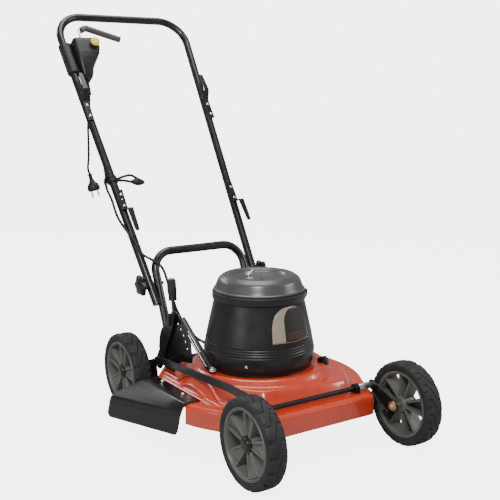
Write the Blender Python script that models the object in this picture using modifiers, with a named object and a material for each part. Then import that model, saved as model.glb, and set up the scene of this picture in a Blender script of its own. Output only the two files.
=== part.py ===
"""Push lawn mower with an electric motor: pressed-steel deck, four wheels on height-adjusting
cranks, folding tubular handle with a dead-man switch, and a side discharge deflector.

Lengths are in metres. Inside the script x = 0 is the machine's middle plane (machine's right side
at -x), y = 0 the front hub line with +y rearwards, z = 0 the ground. The datum empty then shifts
everything so that the world origin is the centre of the footprint.
"""
import math

import bmesh
import bpy
from mathutils import Matrix, Vector

# Driving dimensions
DATUM_SHIFT = Vector((0.04295, -0.4743, 0.0))
GAP = 0.0003

WHEEL_RADIUS = 0.100
WHEEL_WIDTH = 0.046
HALF_TRACK = 0.218
WHEELBASE = 0.589
RIM_RADIUS = 0.0797
WHEEL_BOLT_RADIUS = 0.006
WHEEL_STEPS = 28
HALF_FACET = math.pi / WHEEL_STEPS

PIVOT_INSET = 0.075
PIVOT_Z = 0.132
AXLE_RADIUS = 0.006
CRANK_X = 0.178
CRANK_THICKNESS = 0.004
LINK_X = 0.1865
LINK_ARM = Vector((-0.0117, 0.0383))
PIN_RADIUS = 0.004
SLOT_RISE = 0.0038

BLADE_Y = WHEELBASE / 2
DECK_BOTTOM = 0.0736
DECK_WALL = 0.002
SWATH_RADIUS = 0.2575
LEDGE_Z = 0.1215
DECK_TOP = 0.1665
FRONT_CORNER_X = 0.154
REAR_CORNER_X = 0.120
SHOULDER_X = 0.215

TUBE_RADIUS = 0.011
FOLD_Y = 0.5663
FOLD_Z = 0.340
# The knobs' bolts and the fold axis, a little below the point that the handle is measured from
BOLT_Y = 0.5596
BOLT_Z = 0.3301
HANDLE_LENGTH = 0.8408
LEG_TAIL = 0.070
LEG_X = 0.1629
LEG_SPREAD = 0.0555
HANDLE_UP = Vector((0.0, 0.5608, 0.8280))
HANDLE_FRONT = Vector((0.0, -0.8280, 0.5608))
RESTRAINT_ALONG = 0.296
HOOP_X = 0.1365
HOOP_LEAN = 0.42
HOOP_TOP_Z = 0.406
HOOP_FOOT_Z = 0.198
PLATE_X = 0.155
LEVER_X = 0.162

FRONT, REAR = "front", "rear"
LEFT, RIGHT = 1, -1
SIDE_NAMES = {LEFT: "left", RIGHT: "right"}

PARTS = "push_lawn_mower"
CUTTERS = "cutters"


def clear_scene():
    for obj in list(bpy.data.objects):
        bpy.data.objects.remove(obj, do_unlink=True)


def new_collection(name):
    collection = bpy.data.collections.new(name)
    bpy.context.scene.collection.children.link(collection)


def link(obj, collection=PARTS):
    bpy.data.collections[collection].objects.link(obj)
    return obj


def material(name, colour, roughness, metallic=0.0):
    made = bpy.data.materials.new(name)
    made.use_nodes = True
    shader = made.node_tree.nodes["Principled BSDF"]
    shader.inputs["Base Color"].default_value = (*colour, 1.0)
    shader.inputs["Roughness"].default_value = roughness
    shader.inputs["Metallic"].default_value = metallic
    return made


def make_finishes():
    return {
        "red": material("red_enamel", (0.72, 0.07, 0.02), 0.25),
        "black": material("black_powder_coat", (0.012, 0.012, 0.013), 0.38),
        "charcoal": material("charcoal_plastic", (0.028, 0.03, 0.032), 0.45),
        "grey": material("grey_rim_plastic", (0.11, 0.11, 0.105), 0.5),
        "tyre": material("tyre_rubber", (0.03, 0.032, 0.034), 0.75),
        "rubber": material("soft_black_rubber", (0.015, 0.015, 0.015), 0.8),
        "zinc": material("bright_zinc", (0.62, 0.62, 0.6), 0.3, 1.0),
        "steel": material("bare_steel", (0.4, 0.4, 0.4), 0.35, 1.0),
        "laminations": material("motor_laminations", (0.2, 0.19, 0.18), 0.5, 1.0),
        "yellow": material("yellow_plastic", (0.85, 0.68, 0.03), 0.35),
        "sleeve": material("grey_sleeve_plastic", (0.2, 0.2, 0.19), 0.4),
    }


# Joint frames: an empty on each moving body's axis

def empty(name, place, parent=None):
    made = bpy.data.objects.new(name, None)
    made.empty_display_size = 0.02
    link(made)
    made.location = Vector(place)
    if parent:
        made.parent = parent
        made.location = Vector(place) - frame_place(parent)
    return made


def frame_place(holder):
    """Place of a joint frame before the datum's shift."""
    place = Vector((0.0, 0.0, 0.0))
    while holder.parent:
        place += holder.location
        holder = holder.parent
    return place


def keep(obj, finish, holder):
    """Give a finished sub-part its material and hang it on its joint frame."""
    obj.data.materials.clear()
    obj.data.materials.append(finish)
    if obj.type == "MESH":
        obj.data.shade_smooth()
        obj.data.set_sharp_from_angle(angle=math.radians(35))
    obj.location = obj.location - frame_place(holder)
    obj.parent = holder
    return obj


def object_from_bmesh(name, mesh_data, collection=PARTS):
    mesh = bpy.data.meshes.new(name)
    mesh_data.to_mesh(mesh)
    mesh_data.free()
    return link(bpy.data.objects.new(name, mesh), collection)


# Shape tools

def axis_turn(direction):
    """Rotation that carries +Z to the given direction."""
    return Vector((0, 0, 1)).rotation_difference(Vector(direction).normalized()).to_matrix().to_4x4()


def rod(name, start, end, radius, sides=20, collection=PARTS):
    """Closed cylinder between two points."""
    start, end = Vector(start), Vector(end)
    made = bmesh.new()
    place = Matrix.Translation((start + end) / 2) @ axis_turn(end - start)
    bmesh.ops.create_cone(made, cap_ends=True, segments=sides, radius1=radius, radius2=radius,
                          depth=(end - start).length, matrix=place)
    return object_from_bmesh(name, made, collection)


def block(name, low, high, collection=PARTS, place=None):
    """Closed box between two corners, optionally carried by a matrix."""
    low, high = Vector(low), Vector(high)
    made = bmesh.new()
    size = high - low
    matrix = Matrix.Translation((low + high) / 2) @ Matrix.Diagonal((*size, 1.0))
    if place:
        matrix = place @ matrix
    bmesh.ops.create_cube(made, size=1.0, matrix=matrix)
    return object_from_bmesh(name, made, collection)


def turned(name, profile, steps, origin, direction=(0, 0, 1), ring=False, start=0.0):
    """Profile of (radius, height) points turned about an axis; it runs down the outer side.

    A ring's profile is a closed loop; otherwise both ends lie on the axis. The start is the
    angle of the first facet's edge.
    """
    mesh = bpy.data.meshes.new(name)
    edges = [(i, i + 1) for i in range(len(profile) - 1)]
    if ring:
        edges.append((len(profile) - 1, 0))
    mesh.from_pydata([(radius, 0.0, height) for radius, height in profile], edges, [])
    obj = link(bpy.data.objects.new(name, mesh))
    screw = obj.modifiers.new("turn", "SCREW")
    screw.steps = steps
    screw.render_steps = steps
    screw.use_merge_vertices = True
    screw.merge_threshold = 0.00005
    obj.location = Vector(origin)
    obj.rotation_euler = (axis_turn(direction) @ Matrix.Rotation(start, 4, "Z")).to_euler()
    return obj


def annulus(inner, outer, low, high):
    """Closed loop of a plain ring's section, outer side running down."""
    return [(outer, high), (outer, low), (inner, low), (inner, high)]


def rounded_path(points, radius, steps=6):
    """Polyline whose inner corners are replaced by arcs tangent to both sides."""
    points = [Vector(p) for p in points]
    path = [points[0]]
    for before, corner, after in zip(points, points[1:], points[2:]):
        into = (before - corner).normalized()
        out = (after - corner).normalized()
        half = into.angle(out) / 2
        reach = radius / math.tan(half)
        centre = corner + (into + out).normalized() * (radius / math.sin(half))
        start, end = corner + into * reach, corner + out * reach
        for i in range(steps + 1):
            spoke = Vector(start - centre).slerp(end - centre, i / steps)
            path.append(centre + spoke.normalized() * radius)
    path.append(points[-1])
    return path


def smooth_route(points, count):
    """Points spaced evenly by number along a Catmull-Rom curve through the route's points."""
    points = [Vector(p) for p in points]
    ends = [2 * points[0] - points[1], *points, 2 * points[-1] - points[-2]]
    route = []
    spans = len(points) - 1
    for i in range(count):
        along = i * spans / (count - 1)
        k = min(int(along), spans - 1)
        u = along - k
        a, b, c, d = ends[k:k + 4]
        route.append(0.5 * (2 * b + (c - a) * u + (2 * a - 5 * b + 4 * c - d) * u * u
                            + (3 * b - a - 3 * c + d) * u ** 3))
    return route


def tube(name, path, radius, resolution=3):
    """Solid round bar along a path, as a bevelled curve with filled caps."""
    curve = bpy.data.curves.new(name, "CURVE")
    curve.dimensions = "3D"
    curve.bevel_depth = radius
    curve.bevel_resolution = resolution
    curve.use_fill_caps = True
    spline = curve.splines.new("POLY")
    spline.points.add(len(path) - 1)
    for point, place in zip(spline.points, path):
        point.co = (*place, 1.0)
    return link(bpy.data.objects.new(name, curve))


def as_mesh(obj):
    """Turn a curve object into a welded mesh object, so that it can be cut."""
    graph = bpy.context.evaluated_depsgraph_get()
    mesh = bpy.data.meshes.new_from_object(obj.evaluated_get(graph))
    welded = bmesh.new()
    welded.from_mesh(mesh)
    bmesh.ops.remove_doubles(welded, verts=welded.verts, dist=0.00001)
    welded.to_mesh(mesh)
    welded.free()
    name, place = obj.name, obj.matrix_world.copy()
    bpy.data.objects.remove(obj, do_unlink=True)
    made = link(bpy.data.objects.new(name, mesh))
    made.matrix_world = place
    return made


def side_plate(name, outline, x, thickness, holes=()):
    """Flat plate across x, from (y, z) outlines: one outside, and any holes inside it."""
    curve = bpy.data.curves.new(name, "CURVE")
    curve.dimensions = "2D"
    curve.fill_mode = "BOTH"
    curve.extrude = thickness / 2
    for loop in (outline, *holes):
        spline = curve.splines.new("POLY")
        spline.use_cyclic_u = True
        spline.points.add(len(loop) - 1)
        for point, (across, up) in zip(spline.points, loop):
            point.co = (across, up, 0.0, 1.0)
    obj = link(bpy.data.objects.new(name, curve))
    obj.location = (x, 0.0, 0.0)
    obj.rotation_euler = (math.pi / 2, 0.0, math.pi / 2)
    return obj


def circle(centre, radius, sides=16):
    return [(centre[0] + radius * math.cos(2 * math.pi * i / sides),
             centre[1] + radius * math.sin(2 * math.pi * i / sides)) for i in range(sides)]


def hull_outline(discs, sides=40):
    """Convex outline round several discs (y, z, radius), by their furthest point each way."""
    outline = []
    for i in range(sides):
        turn = 2 * math.pi * i / sides
        nose = Vector((math.cos(turn), math.sin(turn)))
        y, z, radius = max(discs, key=lambda d: d[0] * nose.x + d[1] * nose.y + d[2])
        point = (y + radius * nose.x, z + radius * nose.y)
        if not outline or (Vector(point) - Vector(outline[-1])).length > 0.0001:
            outline.append(point)
    return outline


def strip_outline(points, half_width, tip_steps=5):
    """Outline of a flat bar of constant width along a polyline, with rounded ends."""
    points = [Vector(p) for p in points]
    sides = []
    for i, point in enumerate(points):
        before = (point - points[i - 1]).normalized() if i else (points[1] - point).normalized()
        last = i == len(points) - 1
        after = before if last else (points[i + 1] - point).normalized()
        mean = (before + after).normalized()
        normal = Vector((-mean.y, mean.x))
        sides.append(normal * (half_width / max(mean.dot(before), 0.3)))
    ahead = (points[-1] - points[-2]).normalized()
    behind = (points[0] - points[1]).normalized()
    right = [p - s for p, s in zip(points, sides)]
    left = [p + s for p, s in zip(points, sides)]
    outline = right[:-1]
    outline += half_round(points[-1], ahead, half_width, tip_steps)
    outline += reversed(left[1:-1])
    outline += half_round(points[0], behind, half_width, tip_steps)
    return [(p.x, p.y) for p in outline[1:]]


def half_round(centre, ahead, radius, steps):
    """Half circle from the right of a direction, round its front, to its left."""
    right = Vector((ahead.y, -ahead.x))
    turns = [math.pi * i / steps for i in range(steps + 1)]
    return [centre + radius * (right * math.cos(turn) + ahead * math.sin(turn)) for turn in turns]


def cut(obj, cutter, operation="DIFFERENCE"):
    """Exact boolean with a cutter that the build leaves out."""
    for collection in list(cutter.users_collection):
        collection.objects.unlink(cutter)
    link(cutter, CUTTERS)
    cutter.hide_render = True
    cutter.display_type = "WIRE"
    boolean = obj.modifiers.new(operation.lower(), "BOOLEAN")
    boolean.operation = operation
    boolean.solver = "EXACT"
    boolean.object = cutter


def on_handle(x, along, ahead=0.0):
    """Point in the upper handle's plane: along it from the fold axis, and ahead of it."""
    return Vector((x, FOLD_Y, FOLD_Z)) + HANDLE_UP * along + HANDLE_FRONT * ahead


def leg_x(along):
    return LEG_X + LEG_SPREAD * along


# Deck and discharge

def deck_reach(angle):
    """Distance from the blade axis to the skirt: a circle with squared front and rear corners."""
    nose = Vector((abs(math.cos(angle)), abs(math.sin(angle))))
    # The flat front and rear are tangent to the circle; straight sides run from corner to shoulder
    corner = Vector((FRONT_CORNER_X if math.sin(angle) < 0 else REAR_CORNER_X, SWATH_RADIUS))
    shoulder = Vector((SHOULDER_X, math.sqrt(SWATH_RADIUS ** 2 - SHOULDER_X ** 2)))
    if nose.y * corner.x >= nose.x * corner.y:
        return SWATH_RADIUS / nose.y
    if nose.y * shoulder.x >= nose.x * shoulder.y:
        along = corner - shoulder
        normal = Vector((along.y, -along.x)).normalized()
        return normal.dot(shoulder) / normal.dot(nose)
    return SWATH_RADIUS


def deck_shell(finish, holder, sides=48):
    """Skirt, ledge and dome as rings round the blade axis, thickened inwards."""
    made = bmesh.new()
    rings = []
    angles = [2 * math.pi * i / sides for i in range(sides)]
    for level in range(9):
        ring = []
        for angle in angles:
            reach = deck_reach(angle)
            foot = 0.190 + 0.35 * (reach - SWATH_RADIUS)
            radius, z = (
                (reach, DECK_BOTTOM),
                (reach - 0.001, LEDGE_Z - 0.0095),
                (reach - 0.008, LEDGE_Z - 0.0025),
                (foot + 0.012, LEDGE_Z),
                (foot, LEDGE_Z + 0.0065),
                (foot - 0.013, LEDGE_Z + 0.026),
                (foot - 0.028, LEDGE_Z + 0.0375),
                (0.150, DECK_TOP - 0.001),
                (0.050, DECK_TOP),
            )[level]
            ring.append(made.verts.new((radius * math.cos(angle), radius * math.sin(angle), z)))
        rings.append(ring)
    for low, high in zip(rings, rings[1:]):
        for i in range(sides):
            j = (i + 1) % sides
            made.faces.new((low[i], low[j], high[j], high[i]))
    obj = object_from_bmesh("deck_shell", made)
    obj.location = (0.0, BLADE_Y, 0.0)
    wall = obj.modifiers.new("wall", "SOLIDIFY")
    wall.thickness = DECK_WALL
    wall.offset = -1.0
    cut(obj, block("discharge_cutter", (-0.300, 0.228, 0.050), (-0.205, 0.425, 0.1125), CUTTERS))
    keep(obj, finish, holder)


def discharge_deflector(finish, holder):
    """Bent sheet: a flat flange on the deck's ledge, a sloping panel and a hanging flap."""
    front = ((-0.212, 0.222, 0.1245), (-0.250, 0.226, 0.1240), (-0.2560, 0.234, 0.1000),
             (-0.263, 0.240, 0.0450))
    rear = ((-0.212, 0.432, 0.1245), (-0.252, 0.432, 0.1240), (-0.3385, 0.432, 0.1000),
            (-0.3425, 0.444, 0.0450))
    steps = 4
    made = bmesh.new()
    rows = []
    for i in range(steps + 1):
        row = [made.verts.new(Vector(a).lerp(Vector(b), i / steps)) for a, b in zip(front, rear)]
        rows.append(row)
    for first, second in zip(rows, rows[1:]):
        for i in range(len(front) - 1):
            made.faces.new((first[i], first[i + 1], second[i + 1], second[i]))
    bmesh.ops.recalc_face_normals(made, faces=made.faces)
    obj = object_from_bmesh("discharge_deflector", made)
    wall = obj.modifiers.new("wall", "SOLIDIFY")
    wall.thickness = DECK_WALL
    wall.offset = 0.0
    keep(obj, finish, holder)


# Running gear

def axle_pivot(end):
    return PIVOT_INSET if end == FRONT else WHEELBASE - PIVOT_INSET


def hub_y(end):
    return 0.0 if end == FRONT else WHEELBASE


def axle_blocks(finish, holder):
    """Bearing blocks that hold each axle rod on the deck's ledge."""
    for end in (FRONT, REAR):
        for side in (LEFT, RIGHT):
            y = axle_pivot(end)
            name = f"{end}_axle_block_{SIDE_NAMES[side]}"
            outline = hull_outline([(y, PIVOT_Z, 0.011), (y - 0.009, LEDGE_Z + 0.0027, 0.002),
                                    (y + 0.009, LEDGE_Z + 0.0027, 0.002)], 32)
            bore = circle((y, PIVOT_Z), AXLE_RADIUS + GAP, 20)
            keep(side_plate(name, outline, side * 0.126, 0.012, [bore]), finish, holder)


def axle_rod(end, finish, holder):
    reach = CRANK_X - CRANK_THICKNESS / 2 - GAP
    y = axle_pivot(end)
    keep(rod(f"{end}_axle_rod", (-reach, y, PIVOT_Z), (reach, y, PIVOT_Z), AXLE_RADIUS), finish, holder)


def link_ear(end):
    """Centre of the crank's ear for the link bar: above the front pivot, below the rear one."""
    rise = LINK_ARM.y if end == FRONT else -LINK_ARM.y
    return Vector((axle_pivot(end) + LINK_ARM.x, PIVOT_Z + rise))


def crank(end, side, finish, holder):
    """Flat crank from the axle to the wheel's bolt; the right-hand one has the link bar's ear."""
    discs = [(axle_pivot(end), PIVOT_Z, 0.012), (hub_y(end), WHEEL_RADIUS, 0.015)]
    holes = [circle((hub_y(end), WHEEL_RADIUS), WHEEL_BOLT_RADIUS + GAP)]
    if side == RIGHT:
        ear = link_ear(end)
        discs.append((ear.x, ear.y, 0.009))
        holes.append(circle(ear, PIN_RADIUS + GAP, 12))
    plate = side_plate(f"{end}_crank_{SIDE_NAMES[side]}", hull_outline(discs), side * CRANK_X,
                       CRANK_THICKNESS, holes)
    keep(plate, finish, holder)


def wheel_bolt(end, side, finish, holder):
    """Shoulder bolt: flange nut inside the crank, shank through the wheel, head in the hub."""
    inner = CRANK_X - CRANK_THICKNESS / 2 - GAP
    outer = HALF_TRACK + 0.0135
    profile = [(0.0, outer + 0.006), (0.010, outer + 0.006), (0.010, outer), (WHEEL_BOLT_RADIUS, outer),
               (WHEEL_BOLT_RADIUS, inner), (0.0105, inner), (0.0095, inner - 0.010), (0.0, inner - 0.010)]
    obj = turned(f"{end}_wheel_bolt_{SIDE_NAMES[side]}", profile, 16,
                 (0.0, hub_y(end), WHEEL_RADIUS), (side, 0, 0))
    keep(obj, finish, holder)


def rim(end, side, finish, holder):
    """Moulded rim: hub boss, thin web with five windows, and the seat under the tyre."""
    half = WHEEL_WIDTH / 2
    profile = [(RIM_RADIUS, half - 0.003), (RIM_RADIUS, -half + 0.003), (0.072, -half + 0.003),
               (0.070, -0.004), (0.024, -0.006), (0.020, -half + 0.002), (0.0064, -half + 0.002),
               (0.0064, 0.0130), (0.020, 0.0130), (0.024, 0.006), (0.070, 0.004), (0.072, half - 0.003)]
    centre = Vector((side * HALF_TRACK, hub_y(end), WHEEL_RADIUS))
    name = f"{end}_rim_{SIDE_NAMES[side]}"
    obj = turned(name, profile, WHEEL_STEPS, centre, (side, 0, 0), ring=True, start=HALF_FACET)
    windows = bmesh.new()
    for k in range(5):
        middle = math.radians(90 + 72 * k)
        wedge = [(0.034, -0.26), (0.034, 0.26), (0.062, 0.38), (0.062, -0.38)]
        faces = []
        for x in (-0.015, 0.015):
            faces.append([windows.verts.new((x, r * math.cos(middle + t), r * math.sin(middle + t)))
                          for r, t in wedge])
        windows.faces.new(reversed(faces[0]))
        windows.faces.new(faces[1])
        for i in range(4):
            j = (i + 1) % 4
            windows.faces.new((faces[0][i], faces[0][j], faces[1][j], faces[1][i]))
    bmesh.ops.recalc_face_normals(windows, faces=windows.faces)
    cutter = object_from_bmesh(f"{name}_windows", windows, CUTTERS)
    cutter.location = centre
    cut(obj, cutter)
    keep(obj, finish, holder)


def tyre(end, side, finish, holder):
    """Rubber tyre with rounded shoulders, seated on the rim; a flat facet touches the ground."""
    half = WHEEL_WIDTH / 2
    seat = RIM_RADIUS + GAP
    tread = WHEEL_RADIUS / math.cos(HALF_FACET)
    profile = [(tread - 0.0012, half - 0.006), (tread, half - 0.011), (tread, -half + 0.011),
               (tread - 0.0012, -half + 0.006), (tread - 0.006, -half), (seat, -half), (seat, half),
               (tread - 0.006, half)]
    centre = (side * HALF_TRACK, hub_y(end), WHEEL_RADIUS)
    obj = turned(f"{end}_tyre_{SIDE_NAMES[side]}", profile, WHEEL_STEPS, centre, (side, 0, 0), ring=True,
                 start=HALF_FACET)
    keep(obj, finish, holder)


def link_bar(finish, holder):
    """Flat bar that turns both axles together, cranked down behind the deck at its rear end."""
    front, rear = link_ear(FRONT), link_ear(REAR)
    route = [(front.x, front.y + SLOT_RISE / 2), (0.140, 0.1735), (0.300, 0.1640), (0.440, 0.1565), (0.482, 0.150),
             (0.5005, 0.128), (rear.x, rear.y)]
    # The front eye is slotted upright: its pin rises a little in the bar as both cranks turn
    play = PIN_RADIUS + 0.0005
    slot = hull_outline([(front.x, front.y, play), (front.x, front.y + SLOT_RISE, play)], 20)
    holes = [slot, circle(rear, PIN_RADIUS + GAP, 12)]
    keep(side_plate("link_bar", strip_outline(route, 0.0092), -LINK_X, 0.004, holes), finish, holder)


def link_pin(end, finish, holder):
    """Headed pin through the crank's ear and the link bar's eye."""
    ear = link_ear(end)
    profile = [(0.0, 0.1915), (0.0075, 0.1915), (0.0075, 0.1890), (PIN_RADIUS, 0.1890), (PIN_RADIUS, 0.1757),
               (0.007, 0.1757), (0.007, 0.1725), (0.0, 0.1725)]
    obj = turned(f"{end}_link_pin", profile, 12, (0.0, ear.x, ear.y), (-1, 0, 0))
    keep(obj, finish, holder)


# Height lever and quadrant

DETENT_RADIUS = 0.150
DETENT_TOP = 119.4
DETENT_STEP = 6.8
DETENTS = 6
# Rear foot and heel that the quadrant and the left bracket share, as (y, z) points
BRACKET_HEEL = [(0.447, 0.1225), (0.500, 0.1225), (0.500, 0.148), (0.528, 0.168), (0.523, 0.200),
                (0.512, 0.222)]


def height_lever(finish, holder):
    """Flat lever from the rear axle up to a knee, with a narrow tang inside the grip."""
    y = axle_pivot(REAR)
    knee = (0.4320, 0.2776)
    arm = hull_outline([(y, PIVOT_Z, 0.0165), (*knee, 0.0105)], 36)
    plate = as_mesh(side_plate("height_lever", arm, -LEVER_X, 0.004,
                               [circle((y, PIVOT_Z), AXLE_RADIUS + GAP, 20)]))
    tang = as_mesh(side_plate("lever_tang", strip_outline([knee, (0.4366, 0.3112), (0.4420, 0.3470)], 0.0065),
                              -LEVER_X, 0.0038))
    cut(plate, tang, "UNION")
    keep(plate, finish, holder)


def lever_grip(finish, holder):
    """Rubber grip with a flat end cap and a blind bore for the lever's tang."""
    foot, top = Vector((-LEVER_X, 0.4366, 0.3112)), Vector((-LEVER_X, 0.4447, 0.3643))
    length = (top - foot).length
    profile = [(0.0, length), (0.0095, length), (0.0115, length - 0.002), (0.0115, 0.010), (0.0105, 0.0),
               (0.0085, 0.0), (0.0085, length - 0.008), (0.0, length - 0.008)]
    keep(turned("lever_grip", profile, 16, foot, top - foot), finish, holder)


def height_quadrant(finish, holder):
    """Leaf-shaped plate beside the lever with an arc of detent holes, and a strut down to the deck."""
    strut = [(0.442, 0.279), (0.430, 0.279), (0.2745, 0.1745), (0.270, 0.168), (0.283, 0.168), (0.364, 0.2226)]
    outline = [*BRACKET_HEEL, (0.454, 0.262), *strut, (0.3573, 0.180), (0.358, 0.168), (0.405, 0.160),
               (0.440, 0.140)]
    pivot = Vector((axle_pivot(REAR), PIVOT_Z))
    holes = []
    for k in range(DETENTS):
        turn = math.radians(DETENT_TOP + DETENT_STEP * k)
        holes.append(circle(pivot + DETENT_RADIUS * Vector((math.cos(turn), math.sin(turn))), 0.0035, 10))
    keep(side_plate("height_quadrant", outline, -PLATE_X + 0.0005, 0.003, holes), finish, holder)


def handle_bracket_left(finish, holder):
    """Upright plate that carries the lower handle's left foot."""
    outline = [*BRACKET_HEEL, (0.505, 0.232), (0.447, 0.160)]
    keep(side_plate("handle_bracket_left", outline, PLATE_X - 0.0005, 0.003), finish, holder)


# Motor and blade

def motor_housing(finish, holder):
    top = 0.300
    profile = [(0.0150, top), (0.068, top), (0.078, top - 0.010), (0.078, 0.1675), (0.0200, 0.1675),
               (0.0200, 0.1710), (0.066, 0.1720), (0.066, top - 0.014), (0.060, top - 0.0035),
               (0.0150, top - 0.0035)]
    keep(turned("motor_housing", profile, 24, (0.0, BLADE_Y, 0.0), ring=True), finish, holder)


def bearing(name, outer, low, high, finish, holder):
    ring = annulus(0.0083, outer, low, high)
    keep(turned(name, ring, 20, (0.0, BLADE_Y, 0.0), ring=True), finish, holder)


def motor_shaft(finish, holder):
    profile = [(0.0, 0.340), (0.006, 0.340), (0.006, 0.3262), (0.008, 0.3262), (0.008, 0.100), (0.0, 0.100)]
    keep(turned("motor_shaft", profile, 20, (0.0, BLADE_Y, 0.0)), finish, holder)


def rotor(finish, holder):
    keep(turned("rotor", annulus(0.0083, 0.052, 0.190, 0.282), 24, (0.0, BLADE_Y, 0.0), ring=True),
         finish, holder)


def cooling_fan(finish, holder, blades=9):
    """Fan cut as one flat star with paddles, fixed on the shaft above the motor."""
    curve_points = []
    for k in range(blades):
        middle = 2 * math.pi * k / blades
        for radius, turn in ((0.032, -0.22), (0.084, -0.10), (0.086, 0.08), (0.034, 0.06)):
            curve_points.append((radius * math.cos(middle + turn), radius * math.sin(middle + turn)))
    obj = side_plate("cooling_fan", curve_points, 0.0, 0.016, [circle((0.0, 0.0), 0.0083, 20)])
    obj.rotation_euler = (0.0, 0.0, 0.0)
    obj.location = (0.0, BLADE_Y, 0.314)
    keep(obj, finish, holder)


def blade_adaptor(finish, holder):
    profile = [(0.0083, 0.128), (0.014, 0.128), (0.014, 0.108), (0.024, 0.102), (0.024, 0.0935),
               (0.0083, 0.0935)]
    keep(turned("blade_adaptor", profile, 24, (0.0, BLADE_Y, 0.0), ring=True), finish, holder)


def cutting_blade(finish, holder):
    """Flat steel bar with its trailing corners bent up as wind wings."""
    made = bmesh.new()
    half = 0.230
    rows = []
    for x in (-half, -0.160, -0.015, 0.015, 0.160, half):
        lift = 0.012 if abs(x) == half else 0.0
        trailing = 1 if x > 0 else -1
        row = [made.verts.new((x, y, 0.0931 + (lift if y * trailing > 0 else 0.0)))
               for y in (-0.025, 0.0, 0.025)]
        rows.append(row)
    for first, second in zip(rows, rows[1:]):
        for i in range(2):
            made.faces.new((first[i], second[i], second[i + 1], first[i + 1]))
    obj = object_from_bmesh("cutting_blade", made)
    obj.location = (0.0, BLADE_Y, 0.0)
    wall = obj.modifiers.new("wall", "SOLIDIFY")
    wall.thickness = 0.0038
    wall.offset = -1.0
    cut(obj, rod("blade_hole", (0, BLADE_Y, 0.08), (0, BLADE_Y, 0.10), 0.0063, 16, CUTTERS))
    keep(obj, finish, holder)


def blade_bolt(finish, holder):
    profile = [(0.0, 0.0996), (0.006, 0.0996), (0.006, 0.0889), (0.016, 0.0889), (0.016, 0.0865),
               (0.0095, 0.0865), (0.0095, 0.0795), (0.0, 0.0795)]
    keep(turned("blade_bolt", profile, 16, (0.0, BLADE_Y, 0.0)), finish, holder)


def motor_cover(finish, holder):
    """Conical shell with a waisted foot, ring grooves and a thick lip under the lid."""
    wall = 0.003
    outer = [(0.1150, 0.347), (0.1150, 0.330), (0.1105, 0.327), (0.1290, 0.245), (0.1365, 0.195),
             (0.1345, 0.178), (0.1285, 0.1680)]
    inner = [(radius - wall, z) for radius, z in reversed(outer[3:])]
    profile = outer + inner + [(0.1085, 0.344), (0.095, 0.344), (0.095, 0.347)]
    keep(turned("motor_cover", profile, 32, (0.0, BLADE_Y, 0.0), ring=True), finish, holder)


def cover_lid(finish, holder):
    """Lid with a domed rim round a shallow dish."""
    profile = [(0.0, 0.3755), (0.052, 0.3765), (0.064, 0.3835), (0.078, 0.3870), (0.092, 0.3845),
               (0.103, 0.3740), (0.108, 0.3600), (0.1085, 0.3473), (0.1050, 0.3473), (0.0970, 0.3740),
               (0.078, 0.3835), (0.054, 0.3735), (0.0, 0.3725)]
    keep(turned("cover_lid", profile, 28, (0.0, BLADE_Y, 0.0)), finish, holder)


# Handles

def lower_handle(finish, holder):
    """Hoop whose feet stand between the brackets, drilled across for the knobs' studs."""
    def foot_y(z):
        return FOLD_Y + HOOP_LEAN * (z - FOLD_Z)
    turns = ((RIGHT, HOOP_FOOT_Z), (RIGHT, HOOP_TOP_Z), (LEFT, HOOP_TOP_Z), (LEFT, HOOP_FOOT_Z))
    corners = [(side * HOOP_X, foot_y(z), z) for side, z in turns]
    hoop = as_mesh(tube("lower_handle", rounded_path(corners, 0.055), TUBE_RADIUS))
    cut(hoop, knob_drill("lower_handle_drill"))
    keep(hoop, finish, holder)


def knob_drill(name):
    """One long drill through both legs on the fold axis."""
    return rod(name, (-0.20, BOLT_Y, BOLT_Z), (0.20, BOLT_Y, BOLT_Z), 0.0042, 12, CUTTERS)


def upper_handle(finish, holder):
    """U-shaped tube: two legs that spread slightly, joined by the push bar."""
    turns = ((RIGHT, -LEG_TAIL), (RIGHT, HANDLE_LENGTH), (LEFT, HANDLE_LENGTH), (LEFT, -LEG_TAIL))
    corners = [on_handle(side * leg_x(along), along) for side, along in turns]
    handle = as_mesh(tube("upper_handle", rounded_path(corners, 0.078), TUBE_RADIUS))
    cut(handle, knob_drill("upper_handle_drill"))
    keep(handle, finish, holder)


def star_knob(side, finish, holder, lobes=6, sides=24):
    """Lobed hand knob whose stud passes through both tubes."""
    face = LEG_X + TUBE_RADIUS + 0.0006
    # Radius, depth of the lobes and place across the machine of each section
    sections = [(0.0038, 0.0, 0.1225), (0.0038, 0.0, face), (0.0120, 0.0, face + 0.0002),
                (0.0125, 0.0, face + 0.005), (0.0240, 0.12, face + 0.0065), (0.0255, 0.13, face + 0.013),
                (0.0235, 0.12, face + 0.020), (0.0130, 0.0, face + 0.0235)]
    made = bmesh.new()
    rings = []
    for radius, wave, x in sections:
        ring = []
        for i in range(sides):
            turn = 2 * math.pi * i / sides
            reach = radius * (1 + wave * math.cos(lobes * turn))
            ring.append(made.verts.new((side * x, reach * math.cos(turn), reach * math.sin(turn))))
        rings.append(ring)
    for first, second in zip(rings, rings[1:]):
        for i in range(sides):
            j = (i + 1) % sides
            made.faces.new((first[i], first[j], second[j], second[i]))
    made.faces.new(rings[0])
    made.faces.new(rings[-1])
    bmesh.ops.recalc_face_normals(made, faces=made.faces)
    obj = object_from_bmesh(f"star_knob_{SIDE_NAMES[side]}", made)
    obj.location = (0.0, BOLT_Y, BOLT_Z)
    keep(obj, finish, holder)


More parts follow.
